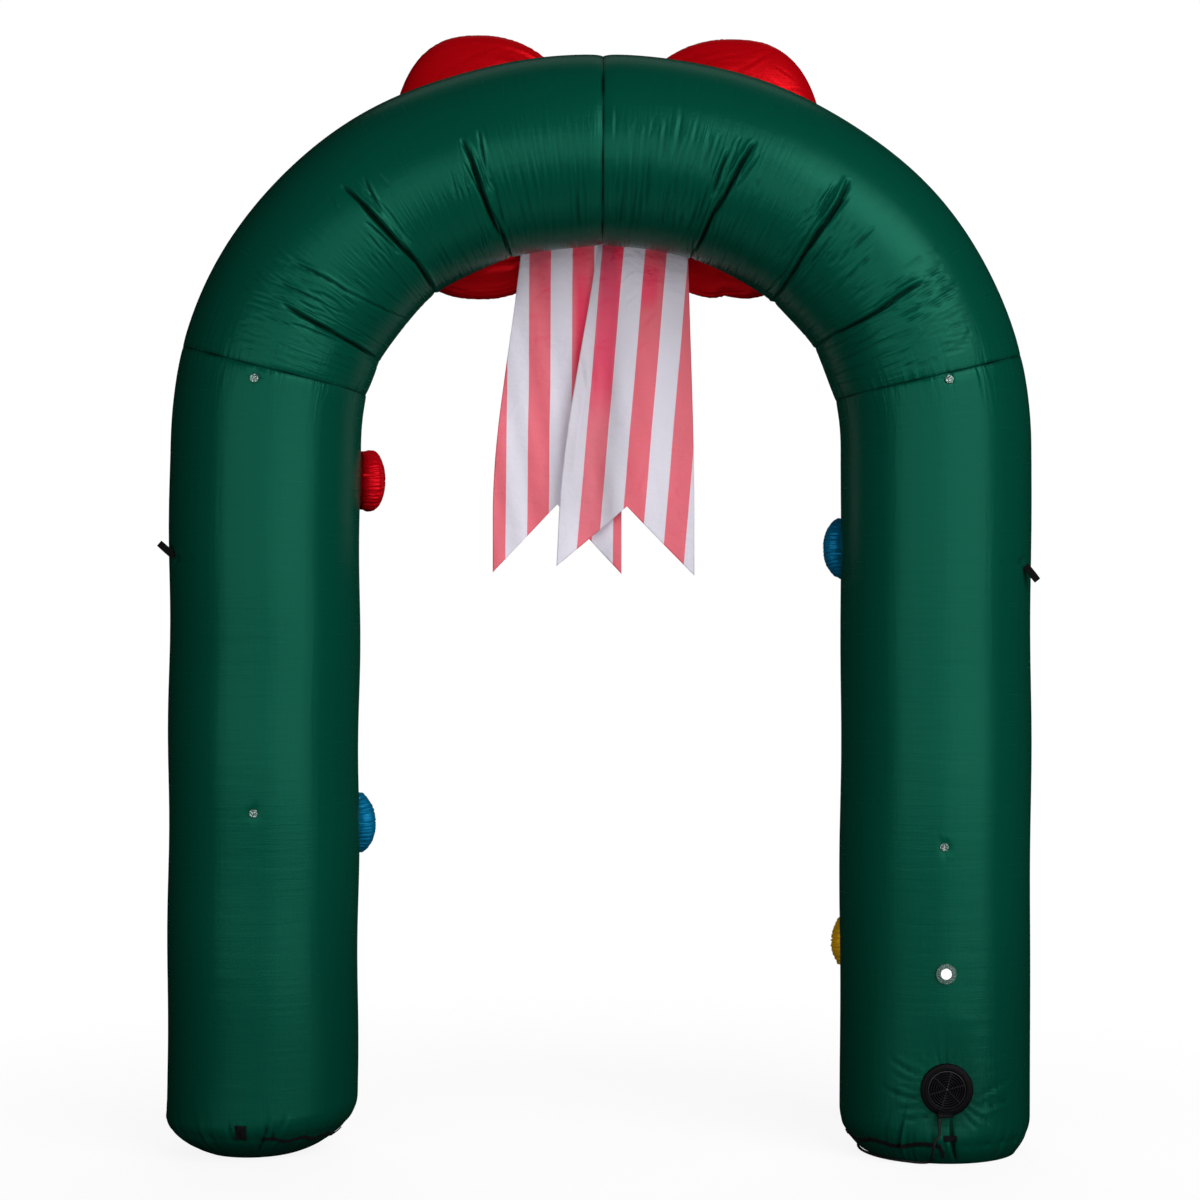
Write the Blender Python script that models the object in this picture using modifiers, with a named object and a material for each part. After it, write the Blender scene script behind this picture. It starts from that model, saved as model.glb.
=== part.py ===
"""Inflatable walk-through arch with a bow, two striped tails and round baubles.

Metres, +Z up. The archway is walked through along Y; its back, with the blower, faces -Y.
The origin is on the ground, under the middle of the whole arch.
"""

import math
from collections import namedtuple

import bmesh
import bpy
from mathutils import Matrix, Vector

# ---- driving dimensions ----
ARCH_Y = -0.085  # middle plane of the tube
LEG_X = {-1: 0.7175, 1: 0.7205}  # axis of each leg at the spring line
TUBE_RADIUS = 0.2025
SPRING_Z = 1.497  # height at which the legs turn into the arch
ARC_RISE = 0.6415  # rise of the tube's centre line above that
ARC_FULLNESS = {-1: 2.11, 1: 2.09}  # 2 is an ellipse, more is squarer
LEG_LEAN = {-1: 0.0065, 1: -0.0035}  # how far each foot stands outward of that

SEAM_ANGLE = {-1: 13.5, 1: 12.2}  # leg seams, in degrees above the spring line
SEAM_RISE = 0.013  # a leg seam's back and front lie this much higher than its sides
APEX_SEAM_X = 0.006  # middle seam
SEAM_PINCH = 0.004  # how far a seam draws the tube in
SEAM_REACH = 0.024  # length of tube that a seam draws in
SEAM_GAP = 0.0003
TOUCH = 0.0006  # room between a curved seat and what sits on it
ROUND_STEPS = 36  # sides of the tube
FACET_SAG = 0.0008  # how far the middle of a side lies inside the round

# A foot is rounded from its flat contact disc up to the full tube.
Foot = namedtuple("Foot", "contact shift height tilt")
FEET = {
    -1: Foot(contact=0.100, shift=0.020, height=0.094, tilt=0.018),
    1: Foot(contact=0.160, shift=0.012, height=0.084, tilt=0.006),
}
FOOT_HOLLOW = 1.7  # 1 is a full rounding, more is nearer to a straight slope
FOOT_TURNS = (0, 22, 42, 60, 76, 90)  # steps of the rounding, in degrees

# Cross creases on the inside of the bend, by their angle round the arch from the right spring line.
Crease = namedtuple("Crease", "angle half_width depth")
CREASES = (
    Crease(26.0, 2.4, 0.012),
    Crease(43.5, 2.8, 0.015),
    Crease(64.0, 2.4, 0.014),
    Crease(115.0, 2.4, 0.014),
    Crease(135.0, 2.6, 0.014),
    Crease(156.5, 2.4, 0.011),
)
LEG_RINGS = (0.100, 0.130, 0.160, 0.192, 0.222, 0.255, 0.33, 0.50, 0.72, 0.95, 1.18, 1.38)
ARC_STEP = 5.0
METRES_PER_DEGREE = 0.0118  # along the middle of the bend

BLOWER_X, BLOWER_Z = 0.718, 0.161
BLOWER_FLAT_Y = ARCH_Y - 0.1925  # the cloth is drawn flat round the blower's opening
FLANGE_RADIUS, FLANGE_BORE, FLANGE_THICK = 0.0545, 0.0400, 0.007
GRILLE_RADIUS, GRILLE_THICK = 0.0393, 0.004

BOW_X, BOW_Z = 0.012, 2.1525
BOW_Y = ARCH_Y + 0.292
LOBE_OFFSET, LOBE_HALF_DEPTH = 0.274, 0.076
Lobe = namedtuple("Lobe", "center_z half_height outer_width inner_width")
LOBES = {
    -1: Lobe(center_z=2.1525, half_height=0.2995, outer_width=0.212, inner_width=0.240),
    1: Lobe(center_z=2.1475, half_height=0.2950, outer_width=0.222, inner_width=0.250),
}
LOBE_FULLNESS = 2.25
LOBE_OUTER_POWER = 0.72  # below 1 squares off a lobe's outer end
KNOT_HALF_WIDTH, KNOT_HALF_HEIGHT = 0.062, 0.078
KNOT_BACK_Y, KNOT_FRONT_Y = ARCH_Y + 0.2064, ARCH_Y + 0.372

TAIL_THICK = 0.0012
BAUBLE_RADIUS, BAUBLE_HEIGHT = 0.0650, 0.0576
LOOP_LENGTH, LOOP_WIDTH, LOOP_THICK, LOOP_HALF_GAP = 0.040, 0.014, 0.0014, 0.0042
STRAP_RADIUS = 0.0036

LEAD_DIAMETER = 0.0055
LEAD_COIL_RADIUS = 0.0315  # middle of its turns
LEAD_COIL_BUNDLE = 0.0085  # half thickness of the wound turns
LEAD_COIL_X, LEAD_COIL_Y = 0.7225, ARCH_Y + 0.268
PLUG_LENGTH, PLUG_WIDTH, PLUG_HEIGHT, BLADE_LENGTH = 0.034, 0.026, 0.021, 0.016
BLADE_WIDTH, BLADE_HEIGHT = 0.0018, 0.0064

GREEN = ("green_taffeta", (0.004, 0.055, 0.035), 0.45)
RED = ("red_taffeta", (0.55, 0.004, 0.006), 0.42)
STRIPE = ("striped_taffeta", (0.75, 0.35, 0.40), 0.6)
BLUE = ("blue_taffeta", (0.01, 0.20, 0.55), 0.42)
YELLOW = ("yellow_taffeta", (0.75, 0.40, 0.02), 0.42)
WEBBING = ("black_webbing", (0.012, 0.012, 0.013), 0.8)
PLASTIC = ("black_plastic", (0.016, 0.016, 0.018), 0.4)
CLEAR = ("clear_plastic", (0.75, 0.80, 0.78), 0.2)
CABLE = ("black_lead", (0.010, 0.010, 0.011), 0.3)


# ---- scene and helpers ----
def start_scene():
    for item in list(bpy.data.objects):
        bpy.data.objects.remove(item)
    collection = bpy.data.collections.new("inflatable_arch")
    bpy.context.scene.collection.children.link(collection)
    return collection


ARCH = start_scene()


def surface(finish):
    """The Principled material of a finish, made once."""
    name, color, roughness = finish
    material = bpy.data.materials.get(name)
    if material is None:
        material = bpy.data.materials.new(name)
        material.use_nodes = True
        shader = material.node_tree.nodes["Principled BSDF"]
        shader.inputs["Base Color"].default_value = (*color, 1.0)
        shader.inputs["Roughness"].default_value = roughness
        shader.inputs["Metallic"].default_value = 0.0
    return material


def add_object(name, data, finish):
    """Links a mesh or curve into the arch's collection with its material."""
    item = bpy.data.objects.new(name, data)
    data.materials.append(surface(finish))
    ARCH.objects.link(item)
    return item


def finish_mesh(name, bm, finish):
    """Turns a bmesh into a smooth-shaded part."""
    bmesh.ops.recalc_face_normals(bm, faces=bm.faces)
    if bm.calc_volume(signed=True) < 0:
        bmesh.ops.reverse_faces(bm, faces=bm.faces)
    mesh = bpy.data.meshes.new(name)
    bm.to_mesh(mesh)
    bm.free()
    mesh.shade_smooth()
    mesh.set_sharp_from_angle(angle=math.radians(50))
    return add_object(name, mesh, finish)


def ease(value):
    """A smooth step from 0 to 1."""
    value = min(1.0, max(0.0, value))
    return value * value * (3 - 2 * value)


def wave(value, center, half_width):
    """A soft bump of height 1 at the centre."""
    return math.exp(-(((value - center) / half_width) ** 2))


# ---- the tube ----
def arc_center(angle):
    """A point of the tube's centre line, by its angle round the arch from the right spring line."""
    turn = math.radians(angle)
    side = 1 if angle < 90 else -1
    full = ARC_FULLNESS[side]
    across = abs(math.cos(turn) / LEG_X[side]) ** full
    up = abs(math.sin(turn) / ARC_RISE) ** full
    reach = (across + up) ** (-1 / full)
    return Vector((reach * math.cos(turn), ARCH_Y, SPRING_Z + reach * math.sin(turn)))


def arc_frame(angle):
    """Centre, outward direction and direction of travel of the arch at an angle."""
    along = (arc_center(angle + 0.05) - arc_center(angle - 0.05)).normalized()
    outward = Vector((along.z, 0, -along.x))
    return arc_center(angle), outward, along


def apex_angle():
    """The angle at which the centre line crosses the middle seam."""
    return 90 - math.degrees(math.atan2(APEX_SEAM_X, ARC_RISE))


def crease_depth(angle, bearing):
    """How far the cross creases draw the tube in: most on the inside of the bend, nothing outside."""
    inner = ease((0.15 - math.cos(math.radians(bearing))) / 0.9)
    inner *= 1 - 0.55 * wave(bearing, 180, 30)
    return inner * sum(c.depth * wave(angle, c.angle, c.half_width) for c in CREASES)


def seam_depth(distance):
    """How far a seam draws the tube in, at a distance along the tube."""
    return SEAM_PINCH * max(0.0, 1 - distance / SEAM_REACH) ** 2


def arc_skin(angle, bearing, shift=0.0):
    """A point of the tube's surface. Bearing 0 is the outside of the bend, 90 the back, 180 the inside."""
    center, outward, along = arc_frame(angle)
    to_leg = min(angle - SEAM_ANGLE[1], 180 - SEAM_ANGLE[-1] - angle)
    nearest = min(abs(to_leg), abs(angle - apex_angle())) * METRES_PER_DEGREE
    radius = TUBE_RADIUS - crease_depth(angle, bearing) - seam_depth(nearest)
    turn = math.radians(bearing)
    up = 1 if angle < 90 else -1
    rise = SEAM_RISE * math.sin(turn) ** 2 * ease(1 - abs(to_leg) / 12)
    spot = center + along * (shift + up * rise)
    return spot + radius * (math.cos(turn) * outward - math.sin(turn) * Vector((0, 1, 0)))


def leg_axis(side, z):
    return Vector((side * (LEG_X[side] + LEG_LEAN[side] * (1 - z / SPRING_Z)), ARCH_Y, z))


def leg_way(side, bearing):
    """Horizontal direction of a bearing: 0 away from the archway, 90 the back, 180 into it."""
    turn = math.radians(bearing)
    return Vector((side * math.cos(turn), -math.sin(turn), 0))


def foot_height(side, bearing):
    """Height of the foot's rounding; it starts higher on the archway side."""
    foot = FEET[side]
    return foot.height - foot.tilt * math.cos(math.radians(bearing))


def foot_skin(side, turn, bearing):
    """A point of a foot's rounding, from 0 degrees at the ground to 90 at the full tube."""
    foot = FEET[side]
    rise = math.radians(turn)
    z = foot_height(side, bearing) * (1 - math.cos(rise))
    radius = foot.contact + (TUBE_RADIUS - foot.contact) * math.sin(rise) ** FOOT_HOLLOW
    shift = Vector((side * foot.shift * (1 - math.sin(rise)), 0, 0))
    return leg_axis(side, z) + shift + radius * leg_way(side, bearing)


def drawn_flat(point):
    """Keeps the right leg's back flat round the blower's opening."""
    away = math.hypot(point.x - BLOWER_X, point.z - BLOWER_Z)
    bulge = 0.010 * ease((away - 0.071) / 0.050)
    if point.y < BLOWER_FLAT_Y - bulge:
        point.y = BLOWER_FLAT_Y - bulge
    return point


def leg_skin(side, z, bearing):
    """A point of a leg's surface at a height and a bearing, foot included."""
    height = foot_height(side, bearing)
    if z < height:
        point = foot_skin(side, math.degrees(math.acos(1 - z / height)), bearing)
    else:
        point = leg_axis(side, z) + TUBE_RADIUS * leg_way(side, bearing)
    return drawn_flat(point) if side > 0 else point


def off_leg(side, z, bearing, lift):
    """A point that stands off a leg's surface along its normal."""
    up = leg_skin(side, z + 0.002, bearing) - leg_skin(side, z - 0.002, bearing)
    across = leg_skin(side, z, bearing + 0.5) - leg_skin(side, z, bearing - 0.5)
    normal = across.cross(up).normalized()
    if normal.dot(leg_way(side, bearing)) < 0:
        normal = -normal
    return leg_skin(side, z, bearing) + normal * lift


def wrapped_tube(name, rings, finish):
    """A closed tube from ring functions of the bearing: a grid wrapped round, with both ends closed."""
    bm = bmesh.new()
    bmesh.ops.create_grid(bm, x_segments=ROUND_STEPS, y_segments=len(rings) - 1, size=0.5)
    for vert in bm.verts:
        step = round((vert.co.x + 0.5) * ROUND_STEPS)
        row = round((vert.co.y + 0.5) * (len(rings) - 1))
        vert.co = rings[row](360 / ROUND_STEPS * (step % ROUND_STEPS))
    bmesh.ops.remove_doubles(bm, verts=bm.verts, dist=0.00001)
    ends = bmesh.ops.holes_fill(bm, edges=bm.edges, sides=0)["faces"]
    bmesh.ops.poke(bm, faces=ends)
    return finish_mesh(name, bm, finish)


def leg_rings(side):
    """Rings of a leg, from the ground up to the seam."""
    rings = [lambda bearing, t=turn: shaped_foot(side, t, bearing) for turn in FOOT_TURNS]
    rings += [lambda bearing, z=z: leg_skin(side, z, bearing) for z in LEG_RINGS]
    seam = SEAM_ANGLE[side]
    for angle, back in (
        (0, 0),
        (4.5, 0),
        (8.5, 0),
        (seam - 1.8, 0),
        (seam - 0.6, 0),
        (seam, SEAM_GAP / 2),
    ):
        turned = angle if side > 0 else 180 - angle
        shift = -side * back
        rings.append(lambda bearing, a=turned, s=shift: arc_skin(a, bearing, s))
    return rings


def shaped_foot(side, turn, bearing):
    point = foot_skin(side, turn, bearing)
    return drawn_flat(point) if side > 0 else point


def shoulder_angles(side):
    """Where a shoulder's rings lie: even steps, closer together at creases and seams."""
    seam = SEAM_ANGLE[side]
    low, high = (seam, apex_angle()) if side > 0 else (apex_angle(), 180 - seam)
    close = [c.angle + part * c.half_width for c in CREASES for part in (-1.6, -0.7, 0, 0.7, 1.6)]
    close += [low + 0.6, low + 1.8, high - 0.6, high - 1.8]
    angles = sorted(a for a in close if low < a < high)
    even = [low + ARC_STEP * k for k in range(1, int((high - low) / ARC_STEP) + 1)]
    angles += [a for a in even if a < high and min(abs(a - b) for b in angles) > 1.6]
    return [low, *sorted(angles), high]


def build_tube():
    for side, word in ((-1, "left"), (1, "right")):
        wrapped_tube(f"{word}_leg", leg_rings(side), GREEN)
        angles = shoulder_angles(side)
        shifts = [SEAM_GAP / 2, *[0.0] * (len(angles) - 2), -SEAM_GAP / 2]
        rings = [
            lambda bearing, a=angle, s=shift: arc_skin(a, bearing, s)
            for angle, shift in zip(angles, shifts, strict=True)
        ]
        wrapped_tube(f"{word}_shoulder", rings, GREEN)


# ---- the bow ----
def build_bow():
    for side, word in ((-1, "left"), (1, "right")):
        bow_lobe(f"bow_{word}_loop", side)
    bow_knot()


def bow_lobe(name, side):
    """An inflated lobe: a ball with its poles on the bow's axis, drawn into folds at the knot."""
    bm = bmesh.new()
    bmesh.ops.create_uvsphere(bm, u_segments=32, v_segments=15, radius=1)
    neck = KNOT_HALF_WIDTH + SEAM_GAP
    lobe = LOBES[side]
    for vert in bm.verts:
        out = -vert.co.z  # -1 at the knot, 1 at the lobe's end
        ring = math.hypot(vert.co.x, vert.co.y)
        around = math.atan2(vert.co.y, vert.co.x)
        ring = ring ** (2 / LOBE_FULLNESS)
        folds = 1 + 0.10 * math.cos(8 * around) * ease((0.1 - out) / 0.9)
        depth = LOBE_HALF_DEPTH * (0.78 + 0.22 * ease((out + 0.9) / 1.2)) * folds
        if out > 0:
            reach = LOBE_OFFSET + lobe.outer_width * out**LOBE_OUTER_POWER
        else:
            reach = LOBE_OFFSET + lobe.inner_width * out
        x = BOW_X + side * max(neck, reach)
        y = BOW_Y + depth * ring * math.sin(around)
        z = lobe.center_z + lobe.half_height * ring * math.cos(around)
        vert.co = (x, y, z)
    return finish_mesh(name, bm, RED)


def bow_knot():
    """The gathered band round the bow's middle: a barrel with flat sides and a flat back."""
    bm = bmesh.new()
    bmesh.ops.create_uvsphere(bm, u_segments=28, v_segments=14, radius=1)
    half_depth = (KNOT_FRONT_Y - KNOT_BACK_Y) / 2
    for vert in bm.verts:
        around = math.atan2(vert.co.y, vert.co.x)
        ring = math.hypot(vert.co.x, vert.co.y) ** 0.75
        pleat = 1 + 0.035 * math.cos(14 * around)
        x = BOW_X + 1.25 * KNOT_HALF_WIDTH * vert.co.z
        y = KNOT_BACK_Y + half_depth * 0.9 + half_depth * 1.1 * ring * pleat * math.sin(around)
        z = BOW_Z + KNOT_HALF_HEIGHT * ring * pleat * math.cos(around)
        vert.co = (x, y, z)
    cuts = (
        (Vector((BOW_X + KNOT_HALF_WIDTH, 0, 0)), Vector((1, 0, 0))),
        (Vector((BOW_X - KNOT_HALF_WIDTH, 0, 0)), Vector((-1, 0, 0))),
        (Vector((0, KNOT_BACK_Y, 0)), Vector((0, -1, 0))),
    )
    for spot, way in cuts:
        everything = bm.verts[:] + bm.edges[:] + bm.faces[:]
        bmesh.ops.bisect_plane(
            bm, geom=everything, dist=0.00002, plane_co=spot, plane_no=way, clear_outer=True
        )
        bmesh.ops.holes_fill(bm, edges=bm.edges, sides=0)
    return finish_mesh("bow_knot", bm, RED)


# ---- the tails ----
Tail = namedtuple("Tail", "top_left top_right low_left low_right top_z tip_left tip_right notch lift")
TAILS = {
    "tail_right": Tail(0.011, 0.194, -0.098, 0.210, 2.128, 1.250, 1.229, 1.383, 0.2031),
    "tail_left": Tail(-0.166, 0.034, -0.240, 0.048, 2.126, 1.237, 1.233, 1.389, 0.2046),
}


def tail_ripple(name, across, down):
    """How far a tail stands off its hanging plane, towards the far side of the arch."""
    loose = ease((down - 0.08) / 0.5)  # flat under the knot, free below it
    if name == "tail_right":
        fold = 0.016 * wave(across, 0.22 + 0.05 * down, 0.13) - 0.008 * wave(across, 0.62, 0.2)
        return loose * (0.002 + fold + 0.004 * math.sin(5 * down))
    bend = 0.010 * math.sin(2.6 * across + 0.6) + 0.010 * wave(across, 0.75, 0.18)
    return loose * (0.026 + bend)


def tail_point(name, across, down):
    """A point of a tail's middle surface; down runs from its top edge to its swallow-tail end."""
    tail = TAILS[name]
    if across < 0.5:
        end = tail.tip_left + (tail.notch - tail.tip_left) * across * 2
    else:
        end = tail.notch + (tail.tip_right - tail.notch) * (across * 2 - 1)
    z = tail.top_z + (end - tail.top_z) * down
    drop = (tail.top_z - z) / (tail.top_z - min(tail.tip_left, tail.tip_right))
    flare = ease(drop / 0.85)
    straight = 0.4 * drop + 0.6 * flare if name == "tail_right" else flare
    left = tail.top_left + (tail.low_left - tail.top_left) * straight
    right = tail.top_right + (tail.low_right - tail.top_right) * flare
    y = ARCH_Y + tail.lift + TAIL_THICK / 2 + tail_ripple(name, across, drop)
    return Vector((left + (right - left) * across, y, z))


def build_tails():
    columns, rows = 12, 12
    for name in TAILS:
        bm = bmesh.new()
        bmesh.ops.create_grid(bm, x_segments=columns, y_segments=rows, size=0.5)
        for vert in bm.verts:
            vert.co = tail_point(name, vert.co.x + 0.5, 0.5 - vert.co.y)
        mesh = bpy.data.meshes.new(name)
        bm.to_mesh(mesh)
        bm.free()
        item = add_object(name, mesh, STRIPE)
        solid = item.modifiers.new("cloth", "SOLIDIFY")
        solid.thickness = TAIL_THICK
        solid.offset = 0


# ---- baubles, buttons, rings ----
def on_leg(side, z, bearing, lift=0.0):
    """A placement on a leg: +Z away from the tube, +Y up, at a lift off its surface."""
    out = leg_way(side, bearing)
    up = Vector((0, 0, 1))
    across = up.cross(out)
    spot = leg_axis(side, z) + (TUBE_RADIUS + lift) * out
    turn = Matrix((across, up, out)).transposed().to_4x4()
    return Matrix.Translation(spot) @ turn


def bauble(name, side, z, bearing, finish):
    """A puffed round cushion whose back follows the tube."""
    bm = bmesh.new()
    bmesh.ops.create_uvsphere(bm, u_segments=20, v_segments=10, radius=1)
    place = on_leg(side, z, bearing)
    axis = leg_axis(side, z)
    for vert in bm.verts:
        ring = math.hypot(vert.co.x, vert.co.y)
        full = BAUBLE_RADIUS * (ring**0.85 / ring if ring > 0.001 else 0)
        height = BAUBLE_HEIGHT * (0.5 + 0.5 * vert.co.z)
        point = place @ Vector((vert.co.x * full, vert.co.y * full, height))
        flat = Vector((point.x - axis.x, point.y - axis.y, 0))
        low = vert.co.z < -0.45
        if low or flat.length < TUBE_RADIUS + TOUCH:
            flat = flat.normalized() * (TUBE_RADIUS + TOUCH + (0.0 if vert.co.z < -0.75 else 0.006))
        vert.co = (axis.x + flat.x, axis.y + flat.y, point.z)
    return finish_mesh(name, bm, finish)


def turned(name, profile, place, finish, steps=24):
    """A turned part: an outline of (radius, height) spun about +Z and set in its place."""
    mesh = bpy.data.meshes.new(name)
    points = [(radius, 0, height) for radius, height in profile]
    mesh.from_pydata(points, [(k, (k + 1) % len(points)) for k in range(len(points))], [])
    item = add_object(name, mesh, finish)
    if points[0][0] == 0:
        bm = bmesh.new()
        bm.from_mesh(mesh)
        bm.edges.ensure_lookup_table()
        bm.edges.remove(bm.edges[-1])
        bm.to_mesh(mesh)
        bm.free()
    screw = item.modifiers.new("turn", "SCREW")
    screw.steps = steps
    screw.render_steps = steps
    screw.use_merge_vertices = True
    screw.merge_threshold = 0.00001
    item.matrix_world = place
    return item


def disc_profile(radius, low, high, round_off):
    """A solid disc's outline from its top centre down its outer side to its bottom centre."""
    return [(0, high), (radius - round_off, high), (radius, high - round_off), (radius, low), (0, low)]


def ring_profile(inner, outer, low, high, round_off):
    """A ring's outline, down its outer side and back up its bore."""
    return [
        (inner, high),
        (outer - round_off, high),
        (outer, high - round_off),
        (outer, low),
        (inner, low),
    ]


def build_baubles():
    bauble("ornament_red", -1, 1.4346, 200, RED)
    bauble("ornament_blue_right", 1, 1.2886, 216, BLUE)
    bauble("ornament_blue_left", -1, 0.6867, 217, BLUE)
    bauble("ornament_yellow", 1, 0.4237, 227, YELLOW)


def build_clear_fittings():
    buttons = (
        ("button_left_top", -1, 1.631, 87.2),
        ("button_left_low", -1, 0.734, 91.3),
        ("button_right_top", 1, 1.627, 86.0),
        ("button_right_low", 1, 0.664, 92.0),
    )
    for name, side, z, bearing in buttons:
        if z > SPRING_Z:
            place = on_bend(side, z, bearing)
        else:
            place = on_leg(side, z, bearing)
        low = TOUCH if z < SPRING_Z else TOUCH - FACET_SAG
        turned(name, disc_profile(0.0088, low, 0.0040, 0.0012), place, CLEAR, steps=16)
    spot = on_leg(1, 0.402, 90.7)
    turned("valve_ring", ring_profile(0.0118, 0.0215, TOUCH, 0.0052, 0.0015), spot, CLEAR)
    turned("valve_window", disc_profile(0.0115, TOUCH, 0.0040, 0.0012), spot, CLEAR, steps=20)


def on_bend(side, z, bearing):
    """The same placement just above the spring line, where the tube starts to bend."""
    angle = 0.0
    while arc_center(angle).z < z:
        angle += 0.1
    center, outward, along = arc_frame(angle if side > 0 else 180 - angle)
    turn = math.radians(bearing)
    out = math.cos(turn) * outward - math.sin(turn) * Vector((0, 1, 0))
    up = side * along
    basis = Matrix((up.cross(out), up, out)).transposed().to_4x4()
    return Matrix.Translation(center + TUBE_RADIUS * out) @ basis


# ---- the blower's intake ----
def build_intake():
    spot = Vector((BLOWER_X, BLOWER_FLAT_Y - SEAM_GAP, BLOWER_Z))
    face = Matrix.Translation(spot) @ Matrix.Rotation(math.radians(90), 4, "X")
    flange = ring_profile(FLANGE_BORE, FLANGE_RADIUS, 0, FLANGE_THICK, 0.0025)
    turned("blower_flange", flange, face, PLASTIC, steps=32)
    grille = grille_profile()
    turned("blower_grille", grille, face, PLASTIC, steps=24)
    clip_size = Vector((0.033, 0.0045, 0.0150))
    clip_spot = Vector((0.7140, spot.y - FLANGE_THICK - SEAM_GAP - clip_size.y / 2, 0.1126))
    block("blower_clip", clip_size, clip_spot, 0.0015, PLASTIC)


def grille_profile():
    """The round grille: concentric ribs over its face."""
    ribs, low, high = 5, 0.0024, GRILLE_THICK
    step = GRILLE_RADIUS / (ribs + 0.5)
    points = [(0, high), (step * 0.5, high)]
    for rib in range(ribs):
        edge = step * (rib + 0.5)
        points += [(edge + step * 0.2, low), (edge + step * 0.6, low), (edge + step * 0.8, high)]
    points += [(GRILLE_RADIUS, high), (GRILLE_RADIUS, 0), (0, 0)]
    return points


def block(name, size, center, bevel, finish):
    """A box with softened edges."""
    bm = bmesh.new()
    bmesh.ops.create_cube(bm, size=1)
    bmesh.ops.scale(bm, vec=size, verts=bm.verts)
    bmesh.ops.bevel(
        bm, geom=bm.edges[:], offset=bevel, segments=1, profile=0.5, affect="EDGES", material=-1
    )
    item = finish_mesh(name, bm, finish)
    item.location = center
    return item


# ---- webbing ----
def tether_loop(name, side, z, bearing, way):
    """A strip of webbing folded back on itself, sewn by its root and open in the middle."""
    curve = bpy.data.curves.new(name, "CURVE")
    curve.dimensions = "2D"
    curve.fill_mode = "BOTH"
    curve.extrude = LOOP_WIDTH / 2
    for grow in (LOOP_THICK, 0.0):
        spline = curve.splines.new("POLY")
        outline = loop_outline(grow)
        spline.points.add(len(outline) - 1)
        for point, (along, across) in zip(spline.points, outline, strict=True):
            point.co = (along, across, 0, 1)
        spline.use_cyclic_u = True
    item = add_object(name, curve, WEBBING)
    along = Vector((way[0], 0, way[1])).normalized()
    gap = Vector((0, 1, 0))
    turn = Matrix((along, gap, along.cross(gap))).transposed()
    item.matrix_world = seated(side, z, bearing, turn)
    return item


def loop_outline(grow):
    """Half its outline is the opening, grown by the webbing's thickness for the outer side."""
    start = 0.006 - 4 * grow
    stations = ((0.0, 0.15), (0.25, 0.8), (0.55, 1.0), (0.85, 0.8), (1.0, 0.0))
    length = LOOP_LENGTH - 0.006
    upper = []
    for share, rise in stations:
        tip = grow if share == 1.0 else 0.0
        root = start - 0.006 if share == 0.0 else 0.0
        upper.append((0.006 + share * length + tip + root, rise * LOOP_HALF_GAP + grow * (rise > 0)))
    lower = [(along, -across) for along, across in reversed(upper[:-1])]
    return upper + lower


def seated(side, z, bearing, turn):
    """Slides a loop's root out of its leg until its nearest corner only just clears the cloth."""
    out = leg_way(side, bearing)
    axis = leg_axis(side, z)
    corners = [
        turn @ Vector((along, across, edge))
        for along, across in loop_outline(LOOP_THICK)
        for edge in (-LOOP_WIDTH / 2, LOOP_WIDTH / 2)
    ]
    lift = TUBE_RADIUS - 0.02
    clear = TUBE_RADIUS + TOUCH - FACET_SAG
    while min((out * lift + corner).to_2d().length for corner in corners) < clear:
        lift += 0.00005
    return Matrix.Translation(axis + out * lift) @ turn.to_4x4()


def build_webbing():
    tether_loop("tether_loop_left", -1, 1.2675, 30, (-0.74, 0.67))
    tether_loop("tether_loop_right", 1, 1.2475, 33, (0.62, -0.78))
    foot_patch("base_patch_left", -1, 0.058, 0.088, 84.5, 0.024, 0.0016)
    foot_patch("base_tab_right", 1, 0.0535, 0.066, 88, 0.029, 0.0016)
    strap("base_strap_left", -1, 97, 178, 0.056, 0.043, 3.5)
    strap("base_strap_right", 1, 96, 182, 0.045, 0.034, 2.5)
    knot = [
        off_leg(1, 0.0470, 94.6, STRAP_RADIUS),
        off_leg(1, 0.0440, 93.2, STRAP_RADIUS + TOUCH),
        off_leg(1, 0.0330, 92.8, STRAP_RADIUS),
        off_leg(1, 0.0190, 92.4, STRAP_RADIUS - TOUCH / 2),
    ]
    round_bar("base_knot_right", knot, STRAP_RADIUS, WEBBING, 2)


def foot_patch(name, side, low, high, bearing, width, thick):
    """A patch of webbing that lies on the foot's rounding."""
    spread = math.degrees(width / 2 / TUBE_RADIUS)
    bm = bmesh.new()
    bmesh.ops.create_grid(bm, x_segments=3, y_segments=3, size=0.5)
    bottom = [v for v in bm.verts]
    top = bmesh.ops.duplicate(bm, geom=bm.faces[:])["geom"]
    top = [g for g in top if isinstance(g, bmesh.types.BMVert)]
    for verts, lift in ((bottom, TOUCH), (top, TOUCH + thick)):
        for vert in verts:
            z = low + (high - low) * (vert.co.y + 0.5)
            vert.co = off_leg(side, z, bearing + 2 * spread * vert.co.x, lift)
    edges = [edge for edge in bm.edges if edge.is_boundary]
    bmesh.ops.bridge_loops(bm, edges=edges)
    return finish_mesh(name, bm, WEBBING)


def strap(name, side, start, end, high, low, waves):
    """A thin strap that wanders round a foot to the archway side."""
    count = 22
    points = []
    for k in range(count):
        share = k / (count - 1)
        z = high + (low - high) * share + 0.0035 * math.sin(math.tau * waves * share)
        points.append(off_leg(side, z, start + (end - start) * share, STRAP_RADIUS + TOUCH))
    return round_bar(name, points, STRAP_RADIUS, WEBBING, 2)


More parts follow.
